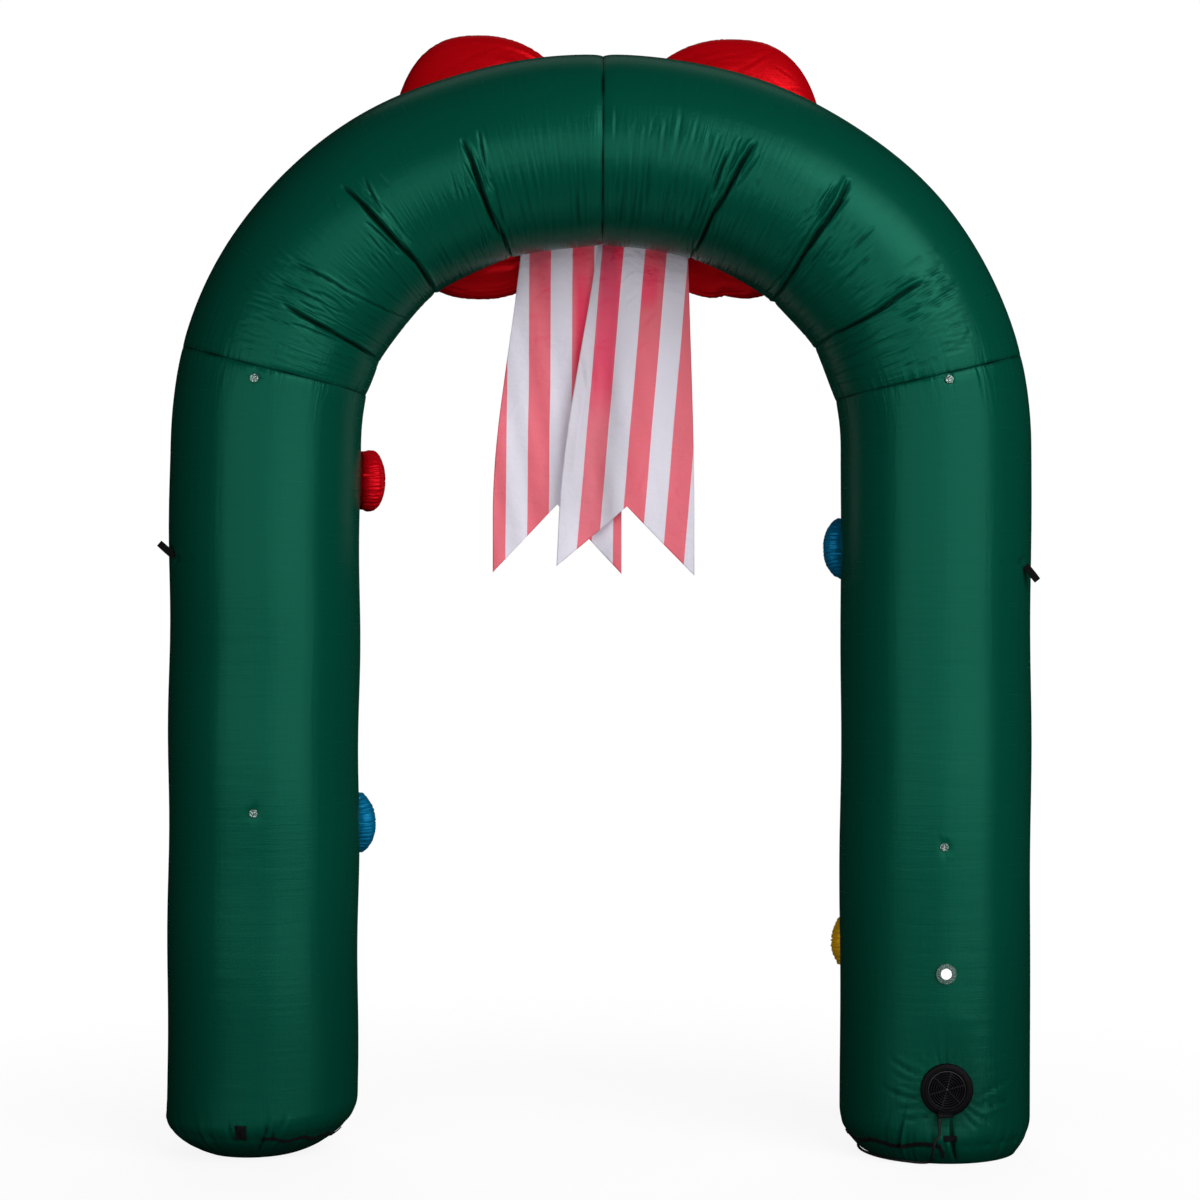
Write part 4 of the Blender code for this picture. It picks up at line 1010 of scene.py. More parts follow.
# ---- The webbing ----
# Ribbed black webbing. A tether loop is sewn to each leg by its root. Drawcords run round the feet:
# a patch covers the ends of the left one, and a tab and a tied end show at the right one.
LOOP_LENGTH, LOOP_WIDTH, LOOP_THICK, LOOP_HALF_GAP, LOOP_SEWN = 0.040, 0.014, 0.0014, 0.0042, 0.006
LOOPS = {
    "tether_loop_left": ((-0.9162, -0.1886, 1.2841), (-0.741, 0.0, 0.671)),
    "tether_loop_right": ((0.9096, -0.1982, 1.2282), (0.622, 0.0, -0.783)),
}


def webbing(name, rib, deep, pale):
    """Woven tape: ribs along it and a crosswise weave."""
    material, tree, shader = new_finish(name)
    place = place_along(tree)
    sides = shader_node(tree, "ShaderNodeSeparateXYZ", {0: place})
    ribs = calc(tree, "SINE", calc(tree, "MULTIPLY", sides.outputs[0], math.tau / rib))
    cross = calc(tree, "SINE", calc(tree, "MULTIPLY", sides.outputs[1], math.tau / WEAVE_PITCH))
    fuzz = streaks(tree, place, (1400.0, 1400.0), 3.0)
    height = total(
        tree,
        calc(tree, "MULTIPLY", ribs, 0.00022),
        calc(tree, "MULTIPLY", calc(tree, "MULTIPLY", ribs, cross), 0.00010),
        calc(tree, "MULTIPLY", fuzz, 0.00012),
    )
    raise_surface(tree, shader, height)
    share = calc(tree, "MULTIPLY", calc(tree, "ADD", fuzz, calc(tree, "ADD", ribs, 1.0)), 0.33)
    colour_by(tree, shader, share, deep, pale)
    shader.inputs["Roughness"].default_value = 0.85
    shader.inputs["Sheen Weight"].default_value = 0.01
    shader.inputs["Specular IOR Level"].default_value = 0.05
    return material


def tape(name, lines, thick):
    """A tape from rows of points across it, thickened, with its width and length, and a UV map in metres."""
    lines = np.array(lines)
    rows, columns = lines.shape[:2]
    mesh, row, column = grid_cloth(name, lines)
    middle = lines[:, columns // 2]
    walked = np.concatenate([[0], np.cumsum(np.linalg.norm(np.diff(middle, axis=0), axis=1))])
    width = np.linalg.norm(lines[rows // 2, -1] - lines[rows // 2, 0])
    add_chart(mesh, np.stack([column / (columns - 1) * width, walked[row]], -1))
    bm = bmesh.new()
    bm.from_mesh(mesh)
    bmesh.ops.solidify(bm, geom=bm.faces[:], thickness=thick)
    turn_outwards(bm)
    bm.to_mesh(mesh)
    bm.free()
    return crisp(mesh, 60), width, walked[-1]


black_webbing = webbing("black_webbing_tape", 0.0023, (0.0010, 0.0010, 0.0011), (0.0050, 0.0050, 0.0054))
for node, (middle, way) in LOOPS.items():
    middle, way = Vector(middle), Vector(way).normalized()
    gap = Vector((0, 1, 0))
    wide = way.cross(gap)
    root = middle - way * (LOOP_SEWN + 0.55 * (LOOP_LENGTH - LOOP_SEWN))
    shares = np.linspace(0, 1, 30)
    along = shares * (LOOP_LENGTH + LOOP_THICK / 2)
    opened = np.clip((along - LOOP_SEWN) / (LOOP_LENGTH - LOOP_SEWN), 0, 1)
    apart = LOOP_THICK / 2 + 0.0002 + LOOP_HALF_GAP * np.sin(np.pi * opened**0.85) ** 0.8
    apart = apart * np.sqrt(np.clip(1 - shares**24, 0, 1))
    outline = list(zip(along, apart)) + list(zip(along[::-1], -apart[::-1]))[1:]
    lines = [
        [root + way * a + gap * b + wide * (LOOP_WIDTH * (c - 0.5)) for c in np.linspace(0, 1, 7)]
        for a, b in outline
    ]
    mesh, width, length = tape(f"{node}_tape", lines, LOOP_THICK)
    loop = add_piece(f"{node}_tape", mesh, black_webbing, "black_webbing", node)
    word = "left" if "left" in node else "right"


def hem_at(side, bearing, z):
    """How far a height on a foot is round from the flat disc, 0, to the full tube, 1."""
    return np.sin(np.arccos(np.clip(1 - z / foot_height(side, bearing), 0, 1)))


def foot_spot(side, bearing, z):
    """Points on a foot or a leg, folds included."""
    hem = hem_at(side, bearing, z)
    swell = leg_relief(side, bearing * DEGREE_ROUND, z, 1.0) * hem**1.5
    return held_leg_skin(side, z, bearing, swell, hem)


def foot_tape(node, name, side, bearings, heights, width, thick, lift):
    """A tape that lies on a foot along a line of bearings and heights."""
    u, v = np.array(bearings) * DEGREE_ROUND, np.array(heights)
    du, dv = np.gradient(u), np.gradient(v)
    size = np.hypot(du, dv)
    off_u, off_v = -dv / size, du / size
    lines = []
    for share in np.linspace(-0.5, 0.5, 5):
        bearing = (u + off_u * width * share) / DEGREE_ROUND
        z = v + off_v * width * share
        spots = foot_spot(side, bearing, z)
        _, _, out = facing(spots, foot_spot(side, bearing, z + 0.004), foot_spot(side, bearing + 1.2, z))
        from_axis = spots - [side * LEG_X[side], TUBE_Y, 0]
        from_axis[..., 2] = 0
        out = out * np.sign(np.sum(out * from_axis, -1, keepdims=True))
        lines.append(spots + out * (lift + thick / 2))
    mesh, wide, long = tape(name, np.swapaxes(np.array(lines), 0, 1), thick)
    piece = add_piece(name, mesh, black_webbing, "black_webbing", node)


CORD_THICK, CORD_LIFT, CORD_WANDER = 0.0014, 0.0008, 0.0035
PATCH_THICK, PATCH_LIFT = 0.0016, 0.0008
share = np.linspace(0, 1, 90)
wander = CORD_WANDER * np.sin(math.tau * 3.5 * share)
foot_tape("base_strap_left", "drawcord_left", -1, 97 + 81 * share, 0.056 - 0.013 * share + wander,
          0.006, CORD_THICK, CORD_LIFT)
wander = CORD_WANDER * np.sin(math.tau * 2.5 * share)
foot_tape("base_strap_right", "drawcord_right", 1, 96 + 86 * share, 0.045 - 0.011 * share + wander,
          0.009, CORD_THICK, CORD_LIFT)
share = np.linspace(0, 1, 14)
foot_tape("base_patch_left", "patch_left", -1, 84.5 + 0 * share, 0.058 + 0.030 * share,
          0.024, PATCH_THICK, PATCH_LIFT)
foot_tape("base_tab_right", "tab_right", 1, 88 + 0 * share, 0.0535 + 0.0125 * share,
          0.029, PATCH_THICK, PATCH_LIFT)
share = np.linspace(0, 1, 30)
foot_tape("base_knot_right", "tied_end_right", 1, 94.6 - 2.2 * share + 0.3 * np.sin(9 * share),
          0.0475 - 0.0285 * share, 0.0062, 0.0040, 0.0018)

# ---- The bow ----
# Two inflated lobes of red taffeta meet at a pleated band. Each lobe is two panels sewn round
# their edge and gathered at the band, and the whole bow is tied to the far side of the arch.
BOW_X, BOW_Z, BOW_Y = 0.012, 2.1525, TUBE_Y + 0.292
LOBE_CENTER_Z = {-1: 2.1525, 1: 2.1475}
LOBE_HALF_HEIGHT = {-1: 0.2995, 1: 0.2950}
LOBE_OUTER_WIDTH = {-1: 0.212, 1: 0.222}
LOBE_INNER_WIDTH = {-1: 0.240, 1: 0.250}
LOBE_OFFSET, LOBE_HALF_DEPTH = 0.274, 0.076
LOBE_SIDE_POWER, LOBE_END_POWER = 2 / 2.25, 0.72
LOBE_METRES_ROUND, LOBE_METRES_OUT = 0.17, 0.21
LOBE_FOLDS, LOBE_FOLD_WIDTH, LOBE_DENT_DEPTH = 110, 0.0022, 0.0075
BAND_HALF_WIDTH, BAND_HALF_HEIGHT = 0.062, 0.078
BAND_BACK_Y, BAND_FRONT_Y = TUBE_Y + 0.2064, TUBE_Y + 0.372
red_taffeta = taffeta("red_taffeta", (0.34, 0.0006, 0.0026), (0.46, 0.0012, 0.0050), 0.30, 0.34, False)


def ball_points(rows, columns):
    """A fine ball to shape, with the places of its points."""
    bm = bmesh.new()
    bmesh.ops.create_uvsphere(bm, u_segments=columns, v_segments=rows, radius=1)
    mesh = mesh_from("ball", bm)
    return mesh, points_of(mesh)


def shaped(mesh, name, points):
    """Moves a ball's points into place, with its faces turned outwards."""
    mesh.name = name
    mesh.vertices.foreach_set("co", points.ravel())
    bm = bmesh.new()
    bm.from_mesh(mesh)
    turn_outwards(bm)
    bm.to_mesh(mesh)
    bm.free()
    mesh.shade_smooth()
    return mesh


for side, word in SIDES:
    mesh, spots = ball_points(140, 244)
    out = -spots[:, 2]
    ring = np.hypot(spots[:, 0], spots[:, 1])
    around = np.arctan2(spots[:, 1], spots[:, 0])
    full, turns = ring**LOBE_SIDE_POWER, around / math.tau
    gathered = smooth_step((0.25 - out) / 1.1)
    pleats = 1 + 0.10 * np.cos(8 * around) * smooth_step((0.1 - out) / 0.9)
    depth = LOBE_HALF_DEPTH * (0.78 + 0.22 * smooth_step((out + 0.9) / 1.2)) * pleats
    width = np.where(out > 0, LOBE_OUTER_WIDTH[side], LOBE_INNER_WIDTH[side])
    reach = LOBE_OFFSET + width * np.sign(out) * np.abs(out) ** np.where(out > 0, LOBE_END_POWER, 1.0)
    swell = 0.0026 * gathered * ripple(turns * 34, 201 + side, 7) * ring
    swell = swell - 0.0050 * gathered * np.abs(np.sin(turns * math.tau * 5.5 + side)) ** 0.6 * ring
    rim = np.exp(-np.abs(np.sin(around)) / 0.10)
    swell = swell + 0.0008 * rim * ripple(out * 17, 211 + side, 6) * ring - 0.0016 * rim * ring
    draw = random.Random(300 + side)
    for _ in range(LOBE_FOLDS):
        middle, place = draw.uniform(-math.pi, math.pi), draw.uniform(-0.7, 0.75) * LOBE_METRES_OUT
        lean = draw.uniform(-0.05, 0.05)
        reach_u, reach_v = draw.uniform(-0.02, 0.02) + lean, draw.uniform(0.02, 0.06)
        nearby = (np.mod(around - middle + math.pi, math.tau) - math.pi) * LOBE_METRES_ROUND
        start, stop = (-reach_u, place - reach_v), (reach_u, place + reach_v)
        depth_here = draw.uniform(0.0006, 0.0021)
        crease = fold(nearby, out * LOBE_METRES_OUT, start, stop, depth_here, LOBE_FOLD_WIDTH, lean / 8)
        swell = swell + crease * ring
    if side > 0:
        dent = np.exp(-(((out + 0.02) / 0.075) ** 2)) * smooth_step((-np.cos(around) - 0.86) / 0.14)
        swell = swell - LOBE_DENT_DEPTH * dent
    x = BOW_X + side * np.maximum(BAND_HALF_WIDTH + SEAM_GAP, reach)
    y = BOW_Y + (depth * full + swell) * np.sin(around)
    z = LOBE_CENTER_Z[side] + (LOBE_HALF_HEIGHT[side] * full + swell) * np.cos(around)
    mesh = shaped(mesh, f"bow_{word}_lobe", np.stack([x, y, z], -1))
    lobe = add_piece(f"bow_{word}_lobe", mesh, red_taffeta, "red_taffeta", f"bow_{word}_loop")

mesh, spots = ball_points(60, 140)
ring = np.hypot(spots[:, 0], spots[:, 1]) ** 0.75
around = np.arctan2(spots[:, 1], spots[:, 0])
half_depth = (BAND_FRONT_Y - BAND_BACK_Y) / 2
pleat = 1 + 0.030 * np.cos(14 * around) + 0.012 * ripple(around / math.tau * 30, 401, 6)
across = 1.12 * BAND_HALF_WIDTH * spots[:, 2]
x = BOW_X + np.clip(across, -BAND_HALF_WIDTH, BAND_HALF_WIDTH)
y = BAND_BACK_Y + half_depth * 0.9 + half_depth * 1.1 * ring * pleat * np.sin(around)
z = BOW_Z + BAND_HALF_HEIGHT * ring * pleat * np.cos(around)
mesh = shaped(mesh, "bow_band", np.stack([x, np.maximum(y, BAND_BACK_Y), z], -1))
band = add_piece("bow_band", mesh, red_taffeta, "red_taffeta", "bow_knot")

# ---- The tails ----
# Two single sheets of thin striped polyester hang from the bow, cut to swallow-tails. The print
# is strong on the far side and shows pale on this one, and light comes through both.
TAIL_THICK, LIGHT_THROUGH = 0.0012, 0.42
Tail = namedtuple(
    "Tail", "top_left top_right low_left low_right top_z tip_left tip_right notch lift stripe lean seed"
)
TAILS = {
    "tail_right": Tail(0.011, 0.194, -0.098, 0.210, 2.128, 1.250, 1.229, 1.383, 0.2031, -0.0163, 0.085, 1),
    "tail_left": Tail(-0.166, 0.034, -0.240, 0.048, 2.126, 1.237, 1.233, 1.389, 0.2046, -0.1565, 0.010, 2),
}
TAIL_MIDDLE_Z = {"tail_right": 1.687, "tail_left": 1.839}
# Painted shade where the other tail, the band and their shadows show through: x, z, half width,
# half height and strength.
KNOT_SHADE = {
    "tail_right": (
        (0.0165, 1.800, 0.025, 0.20, 0.80),
        (0.0890, 1.885, 0.042, 0.052, 0.34),
        (0.1080, 1.870, 0.022, 0.050, 0.40),
        (-0.052, 1.500, 0.020, 0.16, 0.22),
        (0.1500, 1.880, 0.040, 0.030, 0.12),
    ),
    "tail_left": (
        (-0.038, 1.760, 0.016, 0.13, 0.95),
        (-0.044, 1.930, 0.016, 0.060, 0.35),
        (-0.110, 1.900, 0.030, 0.060, 0.20),
    ),
}
STRIPE = 0.0482


# dark scales the print's colour where it takes painted shade.
def striped(name, colour, ground, shine, dark=(1.08, 0.19, 0.60)):
    """Stripes printed along the cloth, which lets part of the light through, with painted shade on the print
    where the mesh marks it.
    """
    material, tree, shader = new_finish(name)
    place = place_along(tree)
    sides = shader_node(tree, "ShaderNodeSeparateXYZ", {0: place})
    wander = calc(tree, "MULTIPLY", streaks(tree, place, (2.0, 5.0), 2.0), 0.0030)
    wandered = calc(tree, "ADD", sides.outputs[0], wander)
    turn = calc(tree, "ADD", calc(tree, "DIVIDE", wandered, 2 * STRIPE), 20)
    share = calc(tree, "LESS_THAN", calc(tree, "FRACT", turn), 0.5)
    slubs = streaks(tree, place, (9.0, 420.0), 3.0)
    cloudy = streaks(tree, place, (9.0, 6.0), 3.0)
    print_colour = blended(tree, cloudy, [c * 0.93 for c in colour], [min(1, c * 1.06) for c in colour])
    ground_colour = blended(tree, cloudy, [c * 0.95 for c in ground], [min(1, c * 1.04) for c in ground])
    # The shade mark darkens the print: painted shade.
    shade = marked(tree, "shade")
    shaded_print = [min(1, c * d) for c, d in zip(colour, dark)]
    paint = blended(tree, share, ground_colour, blended(tree, shade, print_colour, shaded_print))
    tree.links.new(paint, shader.inputs["Base Color"])
    shader.inputs["Roughness"].default_value = shine
    shader.inputs["Specular IOR Level"].default_value = 0.35
    creased = streaks(tree, place, (26.0, 17.0), 3.0)
    crumpled = streaks(tree, place, (34.0, 52.0), 3.5)
    crumple = marked(tree, "crumple")
    height = total(
        tree,
        calc(tree, "MULTIPLY", slubs, 0.0002),
        calc(tree, "MULTIPLY", creased, 0.0028),
        calc(tree, "MULTIPLY", calc(tree, "MULTIPLY", crumpled, crumple), 0.0080),
    )
    facing_out = raise_surface(tree, shader, height)
    through = shader_node(tree, "ShaderNodeBsdfTranslucent", {"Color": paint, "Normal": facing_out})
    ends = {0: LIGHT_THROUGH, 1: shader.outputs[0], 2: through.outputs[0]}
    mix = shader_node(tree, "ShaderNodeMixShader", ends)
    tree.links.new(mix.outputs[0], tree.nodes["Material Output"].inputs["Surface"])
    return material


tail_print = striped("tail_print", (0.66, 0.020, 0.050), (0.73, 0.68, 0.71), 0.45)
tail_reverse = striped("tail_reverse", (0.71, 0.160, 0.215), (0.65, 0.64, 0.71), 0.42)


def tail_stand_off(name, across, down):
    """How far a tail stands off its hanging plane."""
    loose = smooth_step((down - 0.08) / 0.5)
    if name == "tail_right":
        crest = np.exp(-(((across - 0.22 - 0.05 * down) / 0.13) ** 2))
        hollow = np.exp(-(((across - 0.62) / 0.2) ** 2))
        return loose * (0.002 + 0.016 * crest - 0.008 * hollow + 0.004 * np.sin(5 * down))
    crest = np.exp(-(((across - 0.75) / 0.18) ** 2))
    return loose * (0.026 + 0.010 * np.sin(2.6 * across + 0.6) + 0.010 * crest)


TAIL_COLUMNS, TAIL_ROWS = 80, 176
TOP_CREASES, LOW_CREASES = 34, 20
TAIL_CREASE_WIDTH = 0.0030
for name, tail in TAILS.items():
    bm = bmesh.new()
    bmesh.ops.create_grid(bm, x_segments=TAIL_COLUMNS, y_segments=TAIL_ROWS, size=0.5)
    mesh = mesh_from(name, bm)
    spots = points_of(mesh)
    across, down = spots[:, 0] + 0.5, 0.5 - spots[:, 1]
    end = np.where(
        across < 0.5,
        tail.tip_left + (tail.notch - tail.tip_left) * across * 2,
        tail.notch + (tail.tip_right - tail.notch) * (across * 2 - 1),
    )
    z = tail.top_z + (end - tail.top_z) * down
    drop = (tail.top_z - z) / (tail.top_z - min(tail.tip_left, tail.tip_right))
    flare = smooth_step(drop / 0.85)
    straight = 0.4 * drop + 0.6 * flare if name == "tail_right" else flare
    left = tail.top_left + (tail.low_left - tail.top_left) * straight
    right = tail.top_right + (tail.low_right - tail.top_right) * flare
    x = left + (right - left) * across
    y = TUBE_Y + tail.lift + TAIL_THICK / 2 + tail_stand_off(name, across, drop)
    ease_in = smooth_step((drop - 0.05) / 0.2)
    y = y + 0.0012 * ease_in * ripple(x / 0.09 + z / 0.4, 700 + tail.seed, 5)
    draw = random.Random(720 + tail.seed)
    creased = np.zeros_like(y)
    for number in range(TOP_CREASES + LOW_CREASES):
        by_knot = number < TOP_CREASES
        high, spread = (2.0, 0.26) if by_knot else (1.75, 0.45)
        start = (draw.uniform(left.min(), right.max()), high - draw.uniform(0.02, spread))
        angle, reach = draw.gauss(0.1 if by_knot else 1.3, 0.45), draw.uniform(0.02, 0.08)
        stop = (start[0] + reach * math.cos(angle), start[1] + reach * math.sin(angle))
        deep = draw.uniform(0.0006, 0.0018) * (1.0 if by_knot else 0.6)
        creased = creased + fold(x, z, start, stop, deep, TAIL_CREASE_WIDTH)
    y = y + ease_in * creased
    if name == "tail_right":
        y = y - ease_in * fold(x, z, (-0.045, 1.72), (-0.022, 1.58), 0.0035, 0.006)
        y = y + ease_in * fold(x, z, (-0.022, 1.72), (-0.062, 1.45), 0.0030, 0.006)
    mesh.vertices.foreach_set("co", np.stack([x, y, z], -1).ravel())
    if mesh.polygons[0].normal.y > 0:
        mesh.flip_normals()
    on_print = x - tail.stripe - tail.lean * (z - TAIL_MIDDLE_Z[name])
    add_chart(mesh, np.stack([on_print, z], -1))
    at_top = 1 - smooth_step((drop - 0.16) / 0.18)
    # Painted shade: darker near the top under the bow, in the creases, and where KNOT_SHADE lists.
    shade = 0.22 * np.clip(at_top * (0.6 + 0.4 * ripple(x / 0.10 + z / 0.16, 740 + tail.seed, 4)), 0, 1)
    shade = shade + 0.30 * np.clip(-creased / 0.0014, 0, 1)
    for at_x, at_z, wide, tall, strength in KNOT_SHADE[name]:
        off = x - at_x - tail.lean * (z - at_z)
        shade = shade + strength * np.exp(-((off / wide) ** 6) - (((z - at_z) / tall) ** 6))
    add_mark(mesh, "crumple", 0.22 + 0.78 * at_top)
    add_mark(mesh, "shade", np.clip(shade, 0, 1))
    mesh.shade_smooth()
    piece = add_piece(f"{name}_cloth", mesh, tail_reverse, "striped_taffeta", name)
    mesh.materials.append(tail_print)
    cloth = piece.modifiers.new("cloth", "SOLIDIFY")
    cloth.thickness = TAIL_THICK
    cloth.offset = 0
    cloth.material_offset = 1
    width = max(right.max() - left.min(), tail.top_right - tail.top_left)
    length = tail.top_z - min(tail.tip_left, tail.tip_right)

# ---- The baubles ----
# Round cushions of two discs of taffeta with a strip gathered between them, glued by their
# backs to the inner side of the legs.
BAUBLE_RADIUS, BAUBLE_HEIGHT, BAUBLE_SEAT = 0.0650, 0.0576, 0.0006
GATHER_METRES = 0.05  # the gathers' depths are given for a cushion of this radius
blue_taffeta = taffeta("blue_taffeta", (0.0008, 0.090, 0.185), (0.0016, 0.120, 0.245), 0.30, 0.26, False)
yellow_taffeta = taffeta("yellow_taffeta", (0.52, 0.270, 0.006), (0.66, 0.350, 0.010), 0.32, 0.30, False)
bauble_red = taffeta("bauble_red", (0.31, 0.0006, 0.0030), (0.42, 0.0012, 0.0056), 0.30, 0.26, False)

for node, side, height, bearing, finish, slot, seed in (
    ("ornament_red", -1, 1.4346, 200, bauble_red, "red_taffeta", 1),
    ("ornament_blue_right", 1, 1.2886, 216, blue_taffeta, "blue_taffeta", 2),
    ("ornament_blue_left", -1, 0.6867, 217, blue_taffeta, "blue_taffeta", 3),
    ("ornament_yellow", 1, 0.4237, 227, yellow_taffeta, "yellow_taffeta", 4),
):
    mesh, spots = ball_points(68, 168)
    ring = np.hypot(spots[:, 0], spots[:, 1])
    around = np.arctan2(spots[:, 1], spots[:, 0])
    turns, rise = around / math.tau, spots[:, 2]
    strip = np.exp(-((rise / 0.75) ** 4))
    seams = np.exp(-np.abs(np.abs(rise) - 0.72) / 0.035)
    gathers = 0.0017 * strip * ripple(turns * 52 + 0.5 * rise, 800 + seed, 7)
    at_rim = np.exp(-np.clip(0.95 - ring, 0, 1) / 0.20)
    gathers = gathers + 0.0007 * at_rim * ripple(turns * 34, 810 + seed, 6)
    gathers = gathers - 0.0008 * seams
    draw = random.Random(820 + seed)
    for _ in range(10):
        angle, reach = draw.uniform(0, math.tau), draw.uniform(0.25, 0.6)
        start = (0.95 * math.cos(angle), 0.95 * math.sin(angle))
        stop = (reach * math.cos(angle + 0.2), reach * math.sin(angle + 0.2))
        gathers = gathers + fold(spots[:, 0], spots[:, 1], start, stop, draw.uniform(0.0006, 0.0014), 0.035)
    roundness = np.where(rise > 0, 0.85, 0.30)
    full = np.where(ring > 0.001, BAUBLE_RADIUS * ring**roundness / np.maximum(ring, 0.001), 0)
    full = full * (1 + gathers / GATHER_METRES)
    out_by = BAUBLE_HEIGHT * (0.5 + 0.5 * rise) + np.clip(gathers, -1, 0) * (rise > 0.2)
    angle = math.radians(bearing)
    out = np.array([side * math.cos(angle), -math.sin(angle), 0])
    across = np.cross([0, 0, 1], out)
    axis = np.array([side * (LEG_X[side] + LEG_LEAN[side] * (1 - height / SPRING_Z)), TUBE_Y])
    point = (
        np.array([axis[0], axis[1], height])
        + TUBE_RADIUS * out
        + (spots[:, :1] * full[:, None]) * across
        + (spots[:, 1:2] * full[:, None]) * [0, 0, 1]
        + out_by[:, None] * out
    )
    away = point[:, :2] - axis
    size = np.linalg.norm(away, axis=1)
    back = (rise < -0.45) | (size < TUBE_RADIUS + BAUBLE_SEAT)
    onto = TUBE_RADIUS + BAUBLE_SEAT + np.where(rise < -0.75, 0.0, 0.006)
    point[:, :2] = np.where(back[:, None], axis + away / size[:, None] * onto[:, None], point[:, :2])
    mesh = shaped(mesh, f"{node}_cloth", point)
    bauble = add_piece(f"{node}_cloth", mesh, finish, slot, node)

# ---- The power lead ----
# A round black lead, 1.8 m long, leaves the neck under the fan through a tapered sleeve, runs
# down the leg and round the foot, and is wound up behind it with its plug on the coil.
LEAD_DIAMETER, LEAD_LENGTH = 0.0055, 1.80
COIL_X, COIL_Y = 0.7225, TUBE_Y + 0.268
COIL_RADIUS, COIL_BUNDLE = 0.0315, 0.0085
TURN_STEP = LEAD_DIAMETER + 0.0002
GROUND_Z = LEAD_DIAMETER / 2 + 0.0006
PLUG_SIZE = Vector((0.034, 0.026, 0.021))
BLADE = Vector((0.016, 0.0018, 0.0064))
PLUG_SPOT = Vector((COIL_X + BLADE.x / 2, COIL_Y - COIL_RADIUS, 2 * COIL_BUNDLE + 0.0005 + PLUG_SIZE.z / 2))
LEAD_EXIT = Vector((0.7010, TUBE_Y - TUBE_RADIUS - 0.0056, 0.0850))


def plain_foot(z, bearing):
    """The right foot's plain surface, which the lead's route follows."""
    bearing = np.array([float(bearing)])
    point = leg_skin(1, z, bearing, 0.0, hem_at(1, bearing, z))[0]
    away = math.hypot(point[0] - BLOWER_X, point[2] - BLOWER_Z)
    limit = BLOWER_FLAT_Y - 0.010 * smooth_step((away - 0.071) / 0.050)
    point[1] = max(point[1], limit)
    return Vector(point)


def off_foot(z, bearing, lift):
    """A place that stands off the right foot's plain surface."""
    up = plain_foot(z + 0.002, bearing) - plain_foot(z - 0.002, bearing)
    across = plain_foot(z, bearing + 0.5) - plain_foot(z, bearing - 0.5)
    normal = across.cross(up).normalized()
    angle = math.radians(bearing)
    if normal.dot(Vector((math.cos(angle), -math.sin(angle), 0))) < 0:
        normal = -normal
    return plain_foot(z, bearing) + normal * lift


def smooth_line(points, step):
    """Points at even steps along a smooth curve through the given ones."""
    fine = []
    for k in range(len(points) - 1):
        before, after = points[max(k - 1, 0)], points[min(k + 2, len(points) - 1)]
        here, there = points[k], points[k + 1]
        for part in range(20):
            t = part / 20
            fine.append(0.5 * (2 * here + (there - before) * t
                               + (2 * before - 5 * here + 4 * there - after) * t * t
                               + (3 * here - before - 3 * there + after) * t**3))
    fine.append(points[-1])
    lengths = [(b - a).length for a, b in zip(fine, fine[1:])]
    count = round(sum(lengths) / step)
    even, walked, target = [fine[0]], 0.0, sum(lengths) / count
    for length, point in zip(lengths, fine[1:]):
        walked += length
        if walked >= target - 1e-9 and len(even) < count:
            even.append(point)
            target += sum(lengths) / count
    return [*even, fine[-1]]


lift = LEAD_DIAMETER / 2 + 0.0012
route = [
    LEAD_EXIT,
    LEAD_EXIT - Vector((0, 0, 0.0150)),
    off_foot(0.0590, 97.0, lift + 0.006),
    off_foot(0.0480, 98.0, LEAD_DIAMETER / 2 + 0.0084),
    off_foot(0.0320, 99.2, lift + 0.006),
    off_foot(0.0120, 102.0, lift + 0.001),
]
for bearing in (109, 120, 134, 150, 168, 186, 204, 222):
    beside = plain_foot(LEAD_DIAMETER, bearing)
    angle = math.radians(bearing)
    route.append(
        Vector((beside.x + 0.0036 * math.cos(angle), beside.y - 0.0036 * math.sin(angle), GROUND_Z))
    )
coil_side = COIL_Y - COIL_RADIUS
route += [
    Vector((COIL_X - 0.072, coil_side - 0.024, GROUND_Z)),
    Vector((COIL_X - 0.0545, coil_side + 0.002, GROUND_Z)),
    Vector((COIL_X - COIL_RADIUS - COIL_BUNDLE - 0.0005, COIL_Y - 0.0105, GROUND_Z)),
]
laid = smooth_line(route, 0.006)
laid_length = sum((b - a).length for a, b in zip(laid, laid[1:]))

# Coil: three layers of turns that lie beside each other, wound in, out and in again.
LAYER_TURNS, POINTS_A_TURN = 2.12, 18
FIRST_ANGLE, LAST_ANGLE = math.radians(176), math.radians(68.5)
LAST_STRETCH, LAST_BEND = 0.0322, 0.0225  # from the top turn out and round to the plug
last_length = LAST_STRETCH + LAST_BEND * (math.pi / 2 + LAST_ANGLE) + 0.005
room = (LEAD_LENGTH - laid_length - last_length) / (math.tau * COIL_RADIUS)
part_turn = (FIRST_ANGLE - LAST_ANGLE) / math.tau
coil_turns = round(room - part_turn) + part_turn
half_layer = TURN_STEP * LAYER_TURNS / 2
coil = []
for k in range(round(coil_turns * POINTS_A_TURN) + 1):
    turned = coil_turns * k / round(coil_turns * POINTS_A_TURN)
    layer = min(2, int(turned / LAYER_TURNS))
    part = turned - layer * LAYER_TURNS
    radius = COIL_RADIUS + (half_layer - TURN_STEP * part) * (-1 if layer == 1 else 1)
    climb = TURN_STEP * (1 - float(smooth_step(part / 0.22))) if layer else 0.0
    angle = FIRST_ANGLE - math.tau * turned
    coil.append(
        Vector((COIL_X + radius * math.cos(angle), COIL_Y + radius * math.sin(angle),
                GROUND_Z + TURN_STEP * layer - climb))
    )
way = Vector((math.sin(LAST_ANGLE), -math.cos(LAST_ANGLE), 0))
rise = PLUG_SPOT.z - coil[-1].z
